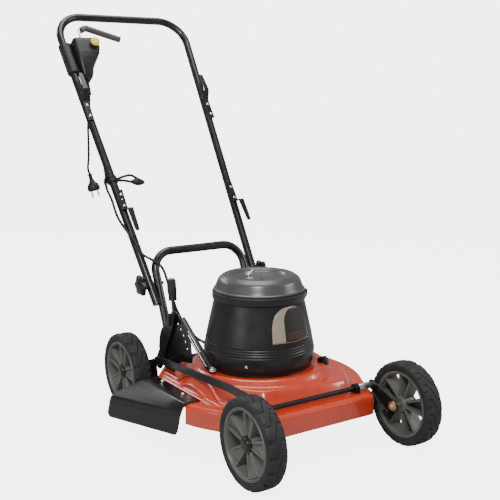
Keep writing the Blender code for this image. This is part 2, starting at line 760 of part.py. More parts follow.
def cord_hook(level, side, finish, holder):
    """Bent flat hook bolted on a leg: the upper one points up, the lower one down."""
    if level == "upper":
        route = [(0.482, 0.0128), (0.545, 0.0128), (0.566, 0.034), (0.617, 0.030)]
    else:
        route = [(0.262, 0.0128), (0.2035, 0.0128), (0.1945, 0.0400), (0.1300, 0.0440)]
    name = f"{level}_cord_hook_{SIDE_NAMES[side]}"
    hook = side_plate(name, strip_outline(route, 0.00125, 3), 0.0, 0.016)
    mid = sum(along for along, _ in route) / len(route)
    # Local x runs up the handle, local y ahead of it and local z across
    turn = Matrix((HANDLE_UP, HANDLE_FRONT, HANDLE_UP.cross(HANDLE_FRONT))).transposed()
    hook.rotation_euler = turn.to_euler()
    hook.location = (side * leg_x(mid), FOLD_Y, FOLD_Z)
    keep(hook, finish, holder)


def handle_matrix():
    """Carries (across, along, ahead) coordinates onto the upper handle."""
    across = HANDLE_UP.cross(HANDLE_FRONT)
    turn = Matrix((across, HANDLE_UP, HANDLE_FRONT)).transposed().to_4x4()
    return Matrix.Translation((0.0, FOLD_Y, FOLD_Z)) @ turn


def switch_housing(finish, holder):
    """Switch box beside the right leg, hollow from behind, with a sleeve round the tube."""
    place = handle_matrix()
    box = block("switch_housing", (-0.1868, 0.622, -0.020), (-0.108, 0.752, 0.036), place=place)
    edge = box.modifiers.new("edges", "BEVEL")
    edge.width = 0.006
    edge.segments = 2
    edge.limit_method = "ANGLE"
    low, high = (on_handle(-leg_x(along), along) for along in (0.640, 0.738))
    sleeve = rod("housing_sleeve", low, high, 0.0165, 20, CUTTERS)
    cut(box, sleeve, "UNION")
    low, high = (on_handle(-leg_x(along), along) for along in (0.60, 0.77))
    cut(box, rod("housing_bore", low, high, TUBE_RADIUS + 0.0006, 20, CUTTERS))
    cut(box, block("housing_cavity", (-0.1780, 0.630, -0.030), (-0.113, 0.744, 0.031), CUTTERS, place))
    stem = [on_handle(-0.127, 0.722, ahead) for ahead in (0.020, 0.050)]
    cut(box, rod("button_bore", *stem, 0.0060, 16, CUTTERS))
    keep(box, finish, holder)


def micro_switch(finish, holder):
    box = block("micro_switch", (-0.150, 0.690, -0.012), (-0.120, 0.735, 0.012), place=handle_matrix())
    keep(box, finish, holder)


def lock_button(finish, holder):
    """Round push button with a stem through the box's front wall."""
    profile = [(0.0, 0.0500), (0.0115, 0.0500), (0.0135, 0.0480), (0.0135, 0.0418), (0.0055, 0.0418),
               (0.0055, 0.0200), (0.0, 0.0200)]
    keep(turned("lock_button", profile, 20, on_handle(-0.127, 0.722), HANDLE_FRONT), finish, holder)


def switch_lever(finish, holder):
    """Bent zinc rod: up from its boss on the box, then across in front of the push bar."""
    path = [on_handle(x, along, 0.010)
            for x, along in ((-0.150, 0.7575), (-0.1475, 0.793), (-0.128, 0.7955), (-0.030, 0.7592))]
    keep(tube("switch_lever", rounded_path(path, 0.006, 4), 0.003, 2), finish, holder)


def lever_sleeve(finish, holder):
    foot, top = on_handle(-0.0275, 0.7583, 0.010), on_handle(-0.1240, 0.7940, 0.010)
    length = (top - foot).length
    profile = [(0.0085, length), (0.0090, length - 0.002), (0.0090, 0.002), (0.0075, 0.0),
               (0.0033, 0.0), (0.0033, length)]
    keep(turned("lever_sleeve", profile, 16, foot, top - foot, ring=True), finish, holder)


def cord_restraint(finish, holder):
    """Clip round the right leg with a flat eye that holds an extension lead's loop."""
    place = handle_matrix()
    along = RESTRAINT_ALONG
    low, high = (on_handle(-leg_x(v), v) for v in (along - 0.006, along + 0.006))
    ring = rod("cord_restraint", low, high, 0.0150, 20)
    eye_points = strip_outline([(-0.166, along), (-0.125, along - 0.002), (-0.098, along - 0.006)], 0.011, 6)
    curve = side_plate("restraint_eye", eye_points, 0.0, 0.007,
                       [strip_outline([(-0.148, along), (-0.104, along - 0.005)], 0.0055, 5)])
    curve.rotation_euler = (0.0, 0.0, 0.0)
    eye = as_mesh(curve)
    eye.matrix_world = place
    cut(ring, eye, "UNION")
    low, high = (on_handle(-leg_x(v), v) for v in (along - 0.02, along + 0.02))
    cut(ring, rod("restraint_bore", low, high, TUBE_RADIUS + GAP, 20, CUTTERS))
    keep(ring, finish, holder)


# Cords

LEAD_RADIUS = 0.00325
CABLE_RADIUS = 0.0035
PLUG_TOP = Vector((-0.1855, 0.8680, 0.5940))
PLUG_DOWN = Vector((0.24, -0.05, -0.95)).normalized()


def supply_lead(finish, holder):
    """Short supply lead: down behind the leg from the switch box, then hanging free."""
    route = [on_handle(-0.172, 0.6215, -0.0105), on_handle(-0.172, 0.600, -0.0105),
             on_handle(-0.178, 0.570, -0.0150), on_handle(-0.1880, 0.535, -0.0178),
             (-0.1868, 0.8655, 0.7450), (-0.1864, 0.8676, 0.7210), (-0.1862, 0.8680, 0.6860),
             (-0.1868, 0.8684, 0.6430), PLUG_TOP - PLUG_DOWN * 0.018, PLUG_TOP - PLUG_DOWN * GAP]
    keep(tube("supply_lead", smooth_route(route, 22), LEAD_RADIUS, 2), finish, holder)


def lead_plug(finish, holder):
    """Two-pin plug with a tapered relief, hanging slightly askew on the lead."""
    top, down = PLUG_TOP, PLUG_DOWN
    profile = [(0.0, 0.0500), (0.0120, 0.0500), (0.0175, 0.0470), (0.0185, 0.0400), (0.0150, 0.0300),
               (0.0075, 0.0240), (0.0050, 0.0030), (0.0080, 0.0028), (0.0080, 0.0), (0.0, 0.0)]
    body = turned("lead_plug", profile, 16, top, down)
    side = down.cross(Vector((0, 1, 0))).normalized()
    for k in (-1, 1):
        root = top + down * 0.045 + side * (0.0095 * k)
        cut(body, rod(f"plug_pin_{k + 1}", root, root + down * 0.0240, 0.0024, 8, CUTTERS), "UNION")
    keep(body, finish, holder)


def handle_cable(finish, holder):
    """Motor cable's upper run: from the box down behind the leg to just above the fold."""
    route = [on_handle(*place) for place in (
        (-0.1580, 0.6215, -0.0120), (-0.1600, 0.600, -0.0130), (-0.1680, 0.560, -0.0175),
        (-0.1800, 0.5200, -0.0175), (-0.1820, 0.440, -0.0170), (-0.1800, 0.380, -0.0170),
        (-0.1840, 0.3250, -0.0190), (-0.1960, 0.285, -0.0120), (-0.1975, 0.240, 0.0000),
        (-0.1990, 0.1900, 0.0060), (-0.1920, 0.150, 0.0120), (-0.1760, 0.105, 0.0180),
        (-0.1680, 0.0700, 0.0165))]
    keep(tube("handle_cable", smooth_route(route, 32), CABLE_RADIUS, 2), finish, holder)


def motor_cable(finish, holder):
    """Motor cable's lower run: from inside the hoop down to the cover's rear."""
    route = [(-0.1300, 0.5590, 0.3760), (-0.1230, 0.5340, 0.3350), (-0.1270, 0.5020, 0.3000),
             (-0.1310, 0.4700, 0.2720), (-0.1240, 0.4420, 0.2400), (-0.1090, 0.4200, 0.2140),
             (-0.0925, 0.4020, 0.2000)]
    keep(tube("motor_cable", smooth_route(route, 16), CABLE_RADIUS, 2), finish, holder)


def build():
    clear_scene()
    new_collection(PARTS)
    new_collection(CUTTERS)
    finish = make_finishes()
    datum = empty("datum", DATUM_SHIFT)
    datum_frame = empty("machine_frame", (0.0, 0.0, 0.0), datum)

    deck_shell(finish["red"], datum_frame)
    discharge_deflector(finish["black"], datum_frame)
    axle_blocks(finish["black"], datum_frame)
    height_quadrant(finish["black"], datum_frame)
    handle_bracket_left(finish["black"], datum_frame)
    lower_handle(finish["black"], datum_frame)
    motor_housing(finish["steel"], datum_frame)
    bearing("upper_bearing", 0.0147, 0.2920, 0.3020, finish["steel"], datum_frame)
    bearing("lower_bearing", 0.0197, 0.1680, 0.1780, finish["steel"], datum_frame)
    motor_cover(finish["charcoal"], datum_frame)
    cover_lid(finish["charcoal"], datum_frame)
    motor_cable(finish["rubber"], datum_frame)

    spin = empty("blade_axis", (0.0, BLADE_Y, 0.10), datum_frame)
    motor_shaft(finish["steel"], spin)
    rotor(finish["laminations"], spin)
    cooling_fan(finish["charcoal"], spin)
    blade_adaptor(finish["steel"], spin)
    cutting_blade(finish["steel"], spin)
    blade_bolt(finish["zinc"], spin)

    for end in (FRONT, REAR):
        axle = empty(f"{end}_axle_axis", (0.0, axle_pivot(end), PIVOT_Z), datum_frame)
        axle_rod(end, finish["black"], axle)
        link_pin(end, finish["zinc"], axle)
        for side in (LEFT, RIGHT):
            crank(end, side, finish["black"], axle)
            wheel_bolt(end, side, finish["zinc"], axle)
            hub = empty(f"{end}_hub_{SIDE_NAMES[side]}", (side * HALF_TRACK, hub_y(end), WHEEL_RADIUS), axle)
            rim(end, side, finish["grey"], hub)
            tyre(end, side, finish["tyre"], hub)
        if end == REAR:
            height_lever(finish["black"], axle)
            lever_grip(finish["rubber"], axle)
            ear = link_ear(REAR)
            link_bar(finish["black"], empty("link_axis", (-LINK_X, ear.x, ear.y), axle))

    fold = empty("fold_axis", (0.0, BOLT_Y, BOLT_Z), datum_frame)
    upper_handle(finish["black"], fold)
    for side in (LEFT, RIGHT):
        for level in ("upper", "lower"):
            cord_hook(level, side, finish["black"], fold)
        knob = empty(f"knob_axis_{SIDE_NAMES[side]}", (side * 0.186, BOLT_Y, BOLT_Z), fold)
        star_knob(side, finish["charcoal"], knob)
    switch_housing(finish["charcoal"], fold)
    micro_switch(finish["charcoal"], fold)
    cord_restraint(finish["rubber"], fold)
    supply_lead(finish["rubber"], fold)
    lead_plug(finish["rubber"], fold)
    handle_cable(finish["rubber"], fold)
    button = empty("button_axis", on_handle(-0.127, 0.722, 0.045), fold)
    lock_button(finish["yellow"], button)
    lever = empty("switch_lever_axis", on_handle(-0.150, 0.764, 0.010), fold)
    switch_lever(finish["zinc"], lever)
    lever_sleeve(finish["sleeve"], lever)
    for cutter in bpy.data.collections[CUTTERS].objects:
        if not cutter.parent:
            cutter.parent = datum
    bpy.context.view_layer.update()


build()
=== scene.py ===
"""Looks of an electric push lawn mower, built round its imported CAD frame.

Lengths are in metres. Places are given in the machine's own coordinates: x = 0 the middle plane with
the machine's left side at +x, y = 0 the front hub line with +y rearwards, z = 0 the ground. The
function at() carries them into the frame.
"""
import math

import bmesh
import bpy
import numpy as np
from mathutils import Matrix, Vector


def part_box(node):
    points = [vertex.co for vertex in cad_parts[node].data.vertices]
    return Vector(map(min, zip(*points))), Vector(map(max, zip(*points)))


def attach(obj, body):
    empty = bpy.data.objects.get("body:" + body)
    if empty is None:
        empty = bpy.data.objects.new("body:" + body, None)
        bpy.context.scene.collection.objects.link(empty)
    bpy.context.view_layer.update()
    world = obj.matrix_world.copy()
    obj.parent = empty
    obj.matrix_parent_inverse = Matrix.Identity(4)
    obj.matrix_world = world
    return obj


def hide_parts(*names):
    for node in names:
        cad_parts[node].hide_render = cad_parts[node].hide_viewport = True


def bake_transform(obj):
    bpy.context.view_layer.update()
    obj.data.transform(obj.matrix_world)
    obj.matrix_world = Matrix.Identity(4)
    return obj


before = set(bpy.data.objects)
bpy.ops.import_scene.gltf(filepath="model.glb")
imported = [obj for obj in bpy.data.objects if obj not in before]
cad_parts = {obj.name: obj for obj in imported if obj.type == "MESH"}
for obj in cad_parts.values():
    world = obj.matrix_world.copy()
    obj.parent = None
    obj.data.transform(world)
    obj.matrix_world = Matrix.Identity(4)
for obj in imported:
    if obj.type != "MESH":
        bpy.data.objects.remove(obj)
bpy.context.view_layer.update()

TURN = 2 * math.pi
ENDS = ("front", "rear")
SIDES = {"left": 1, "right": -1}


def middle(node):
    """Middle of a CAD piece's box."""
    low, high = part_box(node)
    return np.array((low + high) / 2)


HUBS = {(end, side): middle(f"{end}_tyre_{side}") for end in ENDS for side in SIDES}
DATUM = np.array(((HUBS["front", "left"][0] + HUBS["front", "right"][0]) / 2, HUBS["front", "left"][1], 0.0))
WHEEL_RADIUS = 0.1
HALF_TRACK = HUBS["front", "left"][0] - DATUM[0]
WHEELBASE = HUBS["rear", "left"][1] - HUBS["front", "left"][1]
AXLE_INSET = 0.075
AXLE_Z = 0.132
BLADE_Y = WHEELBASE / 2
FOLD_Y, FOLD_Z = 0.5663, 0.34
BOLT_Y, BOLT_Z = 0.5596, 0.3301
ACROSS = np.array((1.0, 0.0, 0.0))
UP = np.array((0.0, 0.5608, 0.828))
AHEAD = np.array((0.0, -0.828, 0.5608))
TUBE_RADIUS = 0.011
LEG_FOOT_X = 0.1629
LEG_SPLAY = 0.0555


def bearings(count):
    """Evenly spaced angles once round."""
    return np.linspace(0, TURN, count, endpoint=False)


def at(*places):
    """Places in the machine's coordinates carried into the frame."""
    return np.array(places, float) + DATUM


def on_handle(across, along, ahead=0.0):
    """Places in the upper handle's plane: across it, along it from the fold axis, and ahead of it."""
    across, along, ahead = np.broadcast_arrays(across, along, ahead)
    place = across[..., None] * ACROSS + along[..., None] * UP + ahead[..., None] * AHEAD
    return place + (0.0, FOLD_Y, FOLD_Z) + DATUM


def leg_x(along):
    """Half the distance between the upper handle's legs, which splay apart upwards."""
    return LEG_FOOT_X + LEG_SPLAY * along


# Meshes from grids of points

def grid(points, closed=True):
    """Vertices and quads of points [row, point]; closed joins each row's last point to its first."""
    rows, count = points.shape[:2]
    index = np.arange(rows * count).reshape(rows, count)
    if closed:
        index = np.hstack([index, index[:, :1]])
    quads = np.stack([index[:-1, :-1], index[:-1, 1:], index[1:, 1:], index[1:, :-1]], axis=-1)
    return points.reshape(-1, 3), quads.reshape(-1, 4)


def capped(points):
    """Closed grid whose first and last rows shrink to their middles, which shuts both ends."""
    ends = [np.broadcast_to(points[i].mean(axis=0), points[:1].shape) for i in (0, -1)]
    return grid(np.concatenate([ends[0], points, ends[1]]))


def together(*parts):
    """Several (vertices, quads) pairs as one."""
    starts = np.cumsum([0] + [len(places) for places, _ in parts[:-1]])
    return (np.concatenate([places for places, _ in parts]),
            np.concatenate([quads + start for (_, quads), start in zip(parts, starts)]))


def basis(axis):
    """Two directions square to an axis, and the axis, all of unit length."""
    along = np.array(axis, float) / np.linalg.norm(axis)
    helper = np.array((0.0, 0.0, 1.0)) if abs(along[2]) < 0.9 else np.array((0.0, 1.0, 0.0))
    across = np.cross(helper, along)
    across /= np.linalg.norm(across)
    return across, np.cross(along, across), along


def turned(profile, centre, axis=(0, 0, 1), steps=96, shape=None):
    """(radius, height) points carried round an axis; shape(angle) multiplies the radii."""
    profile = np.asarray(profile, float)
    across, beside, along = basis(axis)
    angle = bearings(steps)
    radius = np.repeat(profile[:, :1], steps, axis=1)
    if shape is not None:
        radius = radius * shape(angle[None, :])
    ring = np.cos(angle)[:, None] * across + np.sin(angle)[:, None] * beside
    return grid(centre + radius[..., None] * ring + profile[:, 1, None, None] * along)


def looped(profile):
    """A closed section, with its first point again at its end."""
    return [*profile, profile[0]]


def rounded(points, radius, steps=8):
    """Polyline whose corners become arcs tangent to both sides; a corner's radius may be its own."""
    points = np.asarray(points, float)
    radii = np.broadcast_to(radius, len(points) - 2)
    path = [points[0]]
    for before, corner, after, bend in zip(points, points[1:], points[2:], radii):
        into, out = before - corner, after - corner
        into, out = into / np.linalg.norm(into), out / np.linalg.norm(out)
        half = math.acos(np.clip(into @ out, -1, 1)) / 2
        axis = (into + out) / np.linalg.norm(into + out)
        centre = corner + axis * bend / math.sin(half)
        start = corner + into * bend / math.tan(half) - centre
        end = corner + out * bend / math.tan(half) - centre
        share = np.linspace(0, 1, steps + 1)[:, None]
        spokes = start * (1 - share) + end * share
        path.extend(centre + bend * spokes / np.linalg.norm(spokes, axis=1, keepdims=True))
    path.append(points[-1])
    return np.array(path)


def smooth_route(points, count):
    """Points on a Catmull-Rom curve through the route's points, evenly by number."""
    points = np.asarray(points, float)
    ends = np.concatenate([[2 * points[0] - points[1]], points, [2 * points[-1] - points[-2]]])
    along = np.linspace(0, len(points) - 1, count)
    k = np.minimum(along.astype(int), len(points) - 2)
    u = (along - k)[:, None]
    a, b, c, d = (ends[k + i] for i in range(4))
    curve = 2 * b + (c - a) * u + (2 * a - 5 * b + 4 * c - d) * u ** 2 + (3 * b - a - 3 * c + d) * u ** 3
    return 0.5 * curve


def directions(path):
    """Unit tangents along a path."""
    tangents = np.gradient(path, axis=0)
    return tangents / np.linalg.norm(tangents, axis=1, keepdims=True)


def swept(path, section, scale=None, first=None):
    """Section [(side, up)] carried along a path on frames that don't twist, shut at both ends."""
    path = np.asarray(path, float)
    tangents = directions(path)
    side = basis(tangents[0])[0] if first is None else np.asarray(first, float)
    sides = []
    for tangent in tangents:
        side = side - tangent * (side @ tangent)
        side = side / np.linalg.norm(side)
        sides.append(side)
    sides = np.array(sides)
    ups = np.cross(tangents, sides)
    section = np.asarray(section, float)
    scale = np.ones(len(path)) if scale is None else np.asarray(scale, float)
    reach = scale[:, None, None] * section[None]
    return capped(path[:, None] + reach[..., :1] * sides[:, None] + reach[..., 1:] * ups[:, None])


def round_section(radius, sides=24):
    """Circle of points."""
    angle = bearings(sides)
    return radius * np.stack([np.cos(angle), np.sin(angle)], axis=1)


def box_section(width, height, corner, steps=4):
    """Rectangle with quarter-round corners."""
    angle = np.linspace(0, math.pi / 2, steps)
    quarter = corner * np.stack([np.cos(angle), np.sin(angle)], axis=1)
    inner = np.array((width / 2 - corner, height / 2 - corner))
    turns = [(1, 1, 1), (-1, 1, -1), (-1, -1, 1), (1, -1, -1)]
    return np.concatenate([(quarter[::order] + inner) * (sx, sy) for sx, sy, order in turns])


def smoothstep(low, high, value):
    """Share from 0 at low to 1 at high, with flat ends; low may be the greater of the two."""
    share = np.clip((value - low) / (high - low), 0, 1)
    return share * share * (3 - 2 * share)


# Pieces

def tidy_mesh(mesh):
    """Merge doubled points, drop empty faces and point every face outwards."""
    made = bmesh.new()
    made.from_mesh(mesh)
    bmesh.ops.remove_doubles(made, verts=made.verts, dist=0.000002)
    bmesh.ops.dissolve_degenerate(made, edges=made.edges, dist=0.000001)
    bmesh.ops.recalc_face_normals(made, faces=made.faces)
    made.to_mesh(mesh)
    made.free()


def placed(name, data):
    """New object in the scene, at its origin."""
    obj = bpy.data.objects.new(name, data)
    bpy.context.scene.collection.objects.link(obj)
    return obj


def dressed(obj, look, body, replaces=(), sharp=38.0):
    """Give a piece the finish of its look, the body that it rides on and the CAD pieces that it stands for.
    """
    finish, slot = look
    obj.data.materials.clear()
    obj.data.materials.append(finish)
    obj.data.shade_smooth()
    obj.data.set_sharp_from_angle(angle=math.radians(sharp))
    if body:
        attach(obj, body)
    if replaces:
        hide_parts(*replaces)
    return obj


def piece(name, part, look, body, replaces=(), sharp=38.0):
    """New piece made from (vertices, quads)."""
    places, quads = part
    mesh = bpy.data.meshes.new(name)
    mesh.from_pydata(places, [], quads)
    tidy_mesh(mesh)
    return dressed(placed(name, mesh), look, body, replaces, sharp)


def eased(name, node, look, body, width=0.0006):
    """Copy of a CAD piece with its long edges rounded."""
    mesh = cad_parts[node].data.copy()
    made = bmesh.new()
    made.from_mesh(mesh)
    bmesh.ops.remove_doubles(made, verts=made.verts, dist=0.00001)
    bmesh.ops.dissolve_limit(made, angle_limit=math.radians(2), verts=made.verts, edges=made.edges)
    made.to_mesh(mesh)
    made.free()
    obj = placed(name, mesh)
    edges = obj.modifiers.new("edges", "BEVEL")
    edges.width = width
    edges.segments = 2
    edges.limit_method = "ANGLE"
    edges.angle_limit = math.radians(40)
    return dressed(obj, look, body, [node], 30.0)


def walled(obj, thickness, offset=-1.0):
    """Give an open sheet its thickness: inwards, or half each way with an offset of 0."""
    wall = obj.modifiers.new("wall", "SOLIDIFY")
    wall.thickness = thickness
    wall.offset = offset


# Finishes

class Finish:
    """Small builder for one material: a Principled shader fed by patterns on Object coordinates."""

    def __init__(self, name, rough, metallic=0.0, coat=0.0, coat_rough=0.1, specular=0.5):
        self.material = bpy.data.materials.new(name)
        self.material.use_nodes = True
        self.tree = self.material.node_tree
        self.shader = self.tree.nodes["Principled BSDF"]
        self.shader.inputs["Roughness"].default_value = rough
        self.shader.inputs["Metallic"].default_value = metallic
        self.shader.inputs["Coat Weight"].default_value = coat
        self.shader.inputs["Coat Roughness"].default_value = coat_rough
        self.shader.inputs["Specular IOR Level"].default_value = specular
        self.place = self.tree.nodes.new("ShaderNodeTexCoord").outputs["Object"]
        self.last_bump = None

    def node(self, kind, source, socket, settings=None):
        """New node with its constants, fed by a source at one socket."""
        node = self.tree.nodes.new("ShaderNode" + kind)
        for name, value in (settings or {}).items():
            node.inputs[name].default_value = value
        self.tree.links.new(source, node.inputs[socket])
        return node

    def noise(self, scale, detail=4.0, stretch=(1, 1, 1)):
        """Cloudy pattern between 0 and 1, squeezed along each axis by its stretch."""
        mapping = self.node("Mapping", self.place, "Vector", {"Scale": stretch})
        place = mapping.outputs["Vector"]
        return self.node("TexNoise", place, "Vector", {"Scale": scale, "Detail": detail}).outputs["Fac"]

    def colour(self, value, *stops):
        """Base colour from a pattern, by (position, colour) stops."""
        node = self.node("ValToRGB", value, "Fac")
        elements = node.color_ramp.elements
        while len(elements) < len(stops):
            elements.new(0.5)
        for element, (place, colour) in zip(elements, stops):
            element.position = place
            element.color = (*colour, 1.0)
        self.tree.links.new(node.outputs["Color"], self.shader.inputs["Base Color"])

    def roughness(self, value, low, high):
        """Roughness from a pattern, between low and high."""
        span = {"From Min": 0.3, "From Max": 0.7, "To Min": low, "To Max": high}
        node = self.node("MapRange", value, "Value", span)
        self.tree.links.new(node.outputs["Result"], self.shader.inputs["Roughness"])

    def bump(self, value, strength, distance):
        """Relief from a pattern, over any that is there already."""
        node = self.node("Bump", value, "Height", {"Strength": strength, "Distance": distance})
        if self.last_bump:
            self.tree.links.new(self.last_bump, node.inputs["Normal"])
        self.last_bump = node.outputs["Normal"]
        self.tree.links.new(self.last_bump, self.shader.inputs["Normal"])
        return self


def shades(colour, spread):
    """The colour a little darker, and a little lighter."""
    return tuple(c * (1 - spread) for c in colour), tuple(min(1.0, c * (1 + spread)) for c in colour)


def red_enamel():
    """Glossy orange-red enamel: clear coat, orange peel and a faint cloudiness."""
    made = Finish("red_enamel", 0.32, coat=0.7, coat_rough=0.05)
    low, high = shades((0.44, 0.03, 0.006), 0.07)
    made.colour(made.noise(14.0), (0.3, low), (0.7, high))
    made.roughness(made.noise(45.0), 0.24, 0.4)
    return made.bump(made.noise(420.0, 2.0), 0.05, 0.0004).material


def black_coat():
    """Semi-gloss black powder coat with its fine pebbled skin."""
    made = Finish("black_powder_coat", 0.34, coat=0.2, coat_rough=0.12, specular=0.35)
    made.colour(made.noise(22.0), (0.3, (0.003, 0.003, 0.0034)), (0.75, (0.007, 0.007, 0.0072)))
    made.roughness(made.noise(60.0), 0.26, 0.42)
    return made.bump(made.noise(900.0, 2.0), 0.1, 0.0003).material


def moulded(name, colour, rough, grain=0.22, spread=0.1, coat=0.0, specular=0.4):
    """Moulded plastic: fine spark-eroded grain, faint flow marks and handling sheen."""
    made = Finish(name, rough, coat=coat, coat_rough=0.3, specular=specular)
    low, high = shades(colour, spread)
    made.colour(made.noise(9.0, 5.0, (1, 1, 2.5)), (0.3, low), (0.7, high))
    made.roughness(made.noise(30.0, 5.0), rough - 0.07, rough + 0.08)
    made.bump(made.noise(1400.0, 1.0), grain, 0.0003)
    return made.bump(made.noise(160.0, 2.0), 0.04, 0.0006).material


def tyre_rubber():
    """Dull tyre rubber with a bloom of dust and a fine moulded roughness."""
    made = Finish("tyre_rubber", 0.7, specular=0.35)
    made.colour(made.noise(26.0, 8.0), (0.3, (0.009, 0.0095, 0.0095)), (0.62, (0.017, 0.018, 0.018)),
                (0.82, (0.034, 0.034, 0.032)))
    made.roughness(made.noise(50.0, 5.0), 0.58, 0.82)
    made.bump(made.noise(700.0, 2.0), 0.25, 0.0004)
    return made.bump(made.noise(90.0, 3.0), 0.1, 0.0008).material


def plated(name, colour, rough, spangle=90.0):
    """Zinc plating: metal with a soft spangle and fine rubbing marks."""
    made = Finish(name, rough, metallic=1.0)
    low, high = shades(colour, 0.1)
    made.colour(made.noise(spangle, 3.0), (0.35, low), (0.65, high))
    made.roughness(made.noise(spangle * 2, 3.0), rough - 0.06, rough + 0.12)
    return made.bump(made.noise(600.0, 2.0, (1, 1, 0.2)), 0.05, 0.0002).material


def rolled_steel():
    """Bare rolled steel with drawn lines."""
    made = Finish("rolled_steel", 0.35, metallic=1.0)
    made.colour(made.noise(40.0, 4.0), (0.3, (0.3, 0.3, 0.3)), (0.7, (0.46, 0.45, 0.44)))
    made.roughness(made.noise(30.0, 4.0, (1, 12, 1)), 0.26, 0.46)
    return made.bump(made.noise(300.0, 3.0, (0.1, 4, 1)), 0.08, 0.0002).material


def stacked_laminations():
    """Edges of thin stacked sheets: fine bands along the shaft."""
    made = Finish("stacked_laminations", 0.5, metallic=1.0)
    bands = made.noise(500.0, 1.0, (0.02, 0.02, 2.0))
    made.colour(bands, (0.35, (0.1, 0.095, 0.09)), (0.65, (0.26, 0.24, 0.22)))
    return made.bump(bands, 0.4, 0.0004).material


def label_print(name, colour, spread=0.05):
    """Glossy printed film of one colour."""
    made = Finish(name, 0.4, coat=0.4, coat_rough=0.15)
    low, high = shades(colour, spread)
    made.colour(made.noise(120.0, 2.0), (0.35, low), (0.65, high))
    return made.bump(made.noise(500.0, 1.0), 0.03, 0.0002).material


# A look is a finish with the slot that it fills.

RED = red_enamel(), "red_enamel"
BLACK = black_coat(), "black_coat"
CHARCOAL = moulded("charcoal_plastic", (0.0085, 0.0088, 0.0092), 0.38, specular=0.35), "charcoal_plastic"
# The lid is the cover's charcoal plastic, but its base colour is a lighter grey: painted sheen of the
# reflections on its glossy top.
LID_PAINTED_SHEEN = moulded("lid_plastic_painted_sheen", (0.048, 0.048, 0.048), 0.3, grain=0.1, coat=0.3), "charcoal_plastic"
KNOB = moulded("knob_plastic", (0.006, 0.006, 0.0064), 0.34), "knob_plastic"
RIM = moulded("grey_rim_plastic", (0.085, 0.085, 0.077), 0.42, grain=0.15), "rim_plastic"
SLEEVE = moulded("grey_sleeve_plastic", (0.062, 0.062, 0.056), 0.36, grain=0.1), "sleeve_plastic"
YELLOW = (moulded("yellow_plastic", (0.62, 0.46, 0.008), 0.3, grain=0.05, spread=0.04, coat=0.3),
          "yellow_plastic")
CAP = moulded("black_cap_plastic", (0.0035, 0.0035, 0.004), 0.32, grain=0.1), "knob_plastic"
SOFT_CAP = CAP[0], "black_rubber"
TYRE = tyre_rubber(), "tyre_rubber"
RUBBER = moulded("black_rubber", (0.0045, 0.0045, 0.005), 0.46, grain=0.15, specular=0.3), "black_rubber"
GRIP = moulded("grip_rubber", (0.0075, 0.0075, 0.008), 0.58, grain=0.35), "black_rubber"
ZINC = plated("bright_zinc", (0.72, 0.72, 0.7), 0.24), "bright_zinc"
YELLOW_ZINC = plated("yellow_zinc", (0.66, 0.52, 0.24), 0.3), "bright_zinc"
CHROME = plated("chrome", (0.8, 0.8, 0.8), 0.12, 20.0), "bright_zinc"
STEEL = rolled_steel(), "bare_steel"
LAMINATIONS = stacked_laminations(), "bare_steel"
LABEL_FRAME = label_print("label_frame", (0.3, 0.2, 0.16)), "charcoal_plastic"
LABEL_STRIPE = label_print("label_stripe", (0.26, 0.22, 0.17)), "charcoal_plastic"
LABEL_FIELD = label_print("label_field", (0.01, 0.006, 0.006)), "charcoal_plastic"
LABEL_BAND = label_print("label_band", (0.03, 0.008, 0.007)), "charcoal_plastic"


# Camera, light and floor

def camera():
    """Camera ahead of the machine, on its right, looking slightly down."""
    data = bpy.data.cameras.new("camera")
    data.lens = 63.33
    data.sensor_width = 36.0
    obj = placed("camera", data)
    obj.location = at(-1.1882, -1.4393, 0.8172)
    obj.rotation_euler = (math.radians(90 - 10.08), 0.0, math.radians(-33.82))
    bpy.context.scene.camera = obj


def softbox(name, place, target, size, power):
    """Rectangular light that faces a target."""
    data = bpy.data.lights.new(name, "AREA")
    data.shape = "RECTANGLE"
    data.size, data.size_y = size
    data.energy = power
    obj = placed(name, data)
    obj.location = Vector(place)
    obj.rotation_euler = (Vector(target) - Vector(place)).to_track_quat("-Z", "Y").to_euler()


def backdrop(tree, strength, seen=5.0, cast=0.32):
    """A white surround that the eye sees bright, but which lights the machine only dimly."""
    ray = tree.nodes.new("ShaderNodeLightPath")
    level = tree.nodes.new("ShaderNodeMapRange")
    level.inputs["To Min"].default_value = cast
    level.inputs["To Max"].default_value = seen
    tree.links.new(ray.outputs["Is Camera Ray"], level.inputs["Value"])
    tree.links.new(level.outputs["Result"], strength)


def studio():
    """White surround, five soft lights and a pale floor."""
    world = bpy.data.worlds.new("studio")
    world.use_nodes = True
    world.node_tree.nodes["Background"].inputs["Color"].default_value = (1.0, 1.0, 1.0, 1.0)
    backdrop(world.node_tree, world.node_tree.nodes["Background"].inputs["Strength"])
    bpy.context.scene.world = world
    target = (0.0, 0.0, 0.35)
    softbox("key_light", (-1.6, -2.2, 2.6), target, (0.9, 0.9), 105.0)
    softbox("fill_light", (2.6, -1.6, 1.6), target, (1.4, 0.7), 34.0)
    softbox("top_light", (0.2, 0.3, 3.2), target, (2.0, 2.0), 85.0)
    softbox("side_light", (-3.2, -0.9, 1.1), target, (1.2, 0.8), 22.0)
    softbox("back_light", (-0.8, 3.0, 2.0), target, (2.0, 0.6), 40.0)
    mesh = bpy.data.meshes.new("floor")
    reach = 12.0
    mesh.from_pydata([(-reach, -reach, 0), (reach, -reach, 0), (reach, reach, 0), (-reach, reach, 0)], [],
                     [(0, 1, 2, 3)])
    floor = placed("floor", mesh)
    made = Finish("pale_floor", 0.6, specular=0.2)
    made.colour(made.noise(2.0), (0.3, (0.44, 0.44, 0.44)), (0.7, (0.47, 0.47, 0.47)))
    made.shader.inputs["Emission Color"].default_value = (1.0, 1.0, 1.0, 1.0)
    backdrop(made.tree, made.shader.inputs["Emission Strength"], 4.6, 0.0)
    mesh.materials.append(made.material)


# Cords

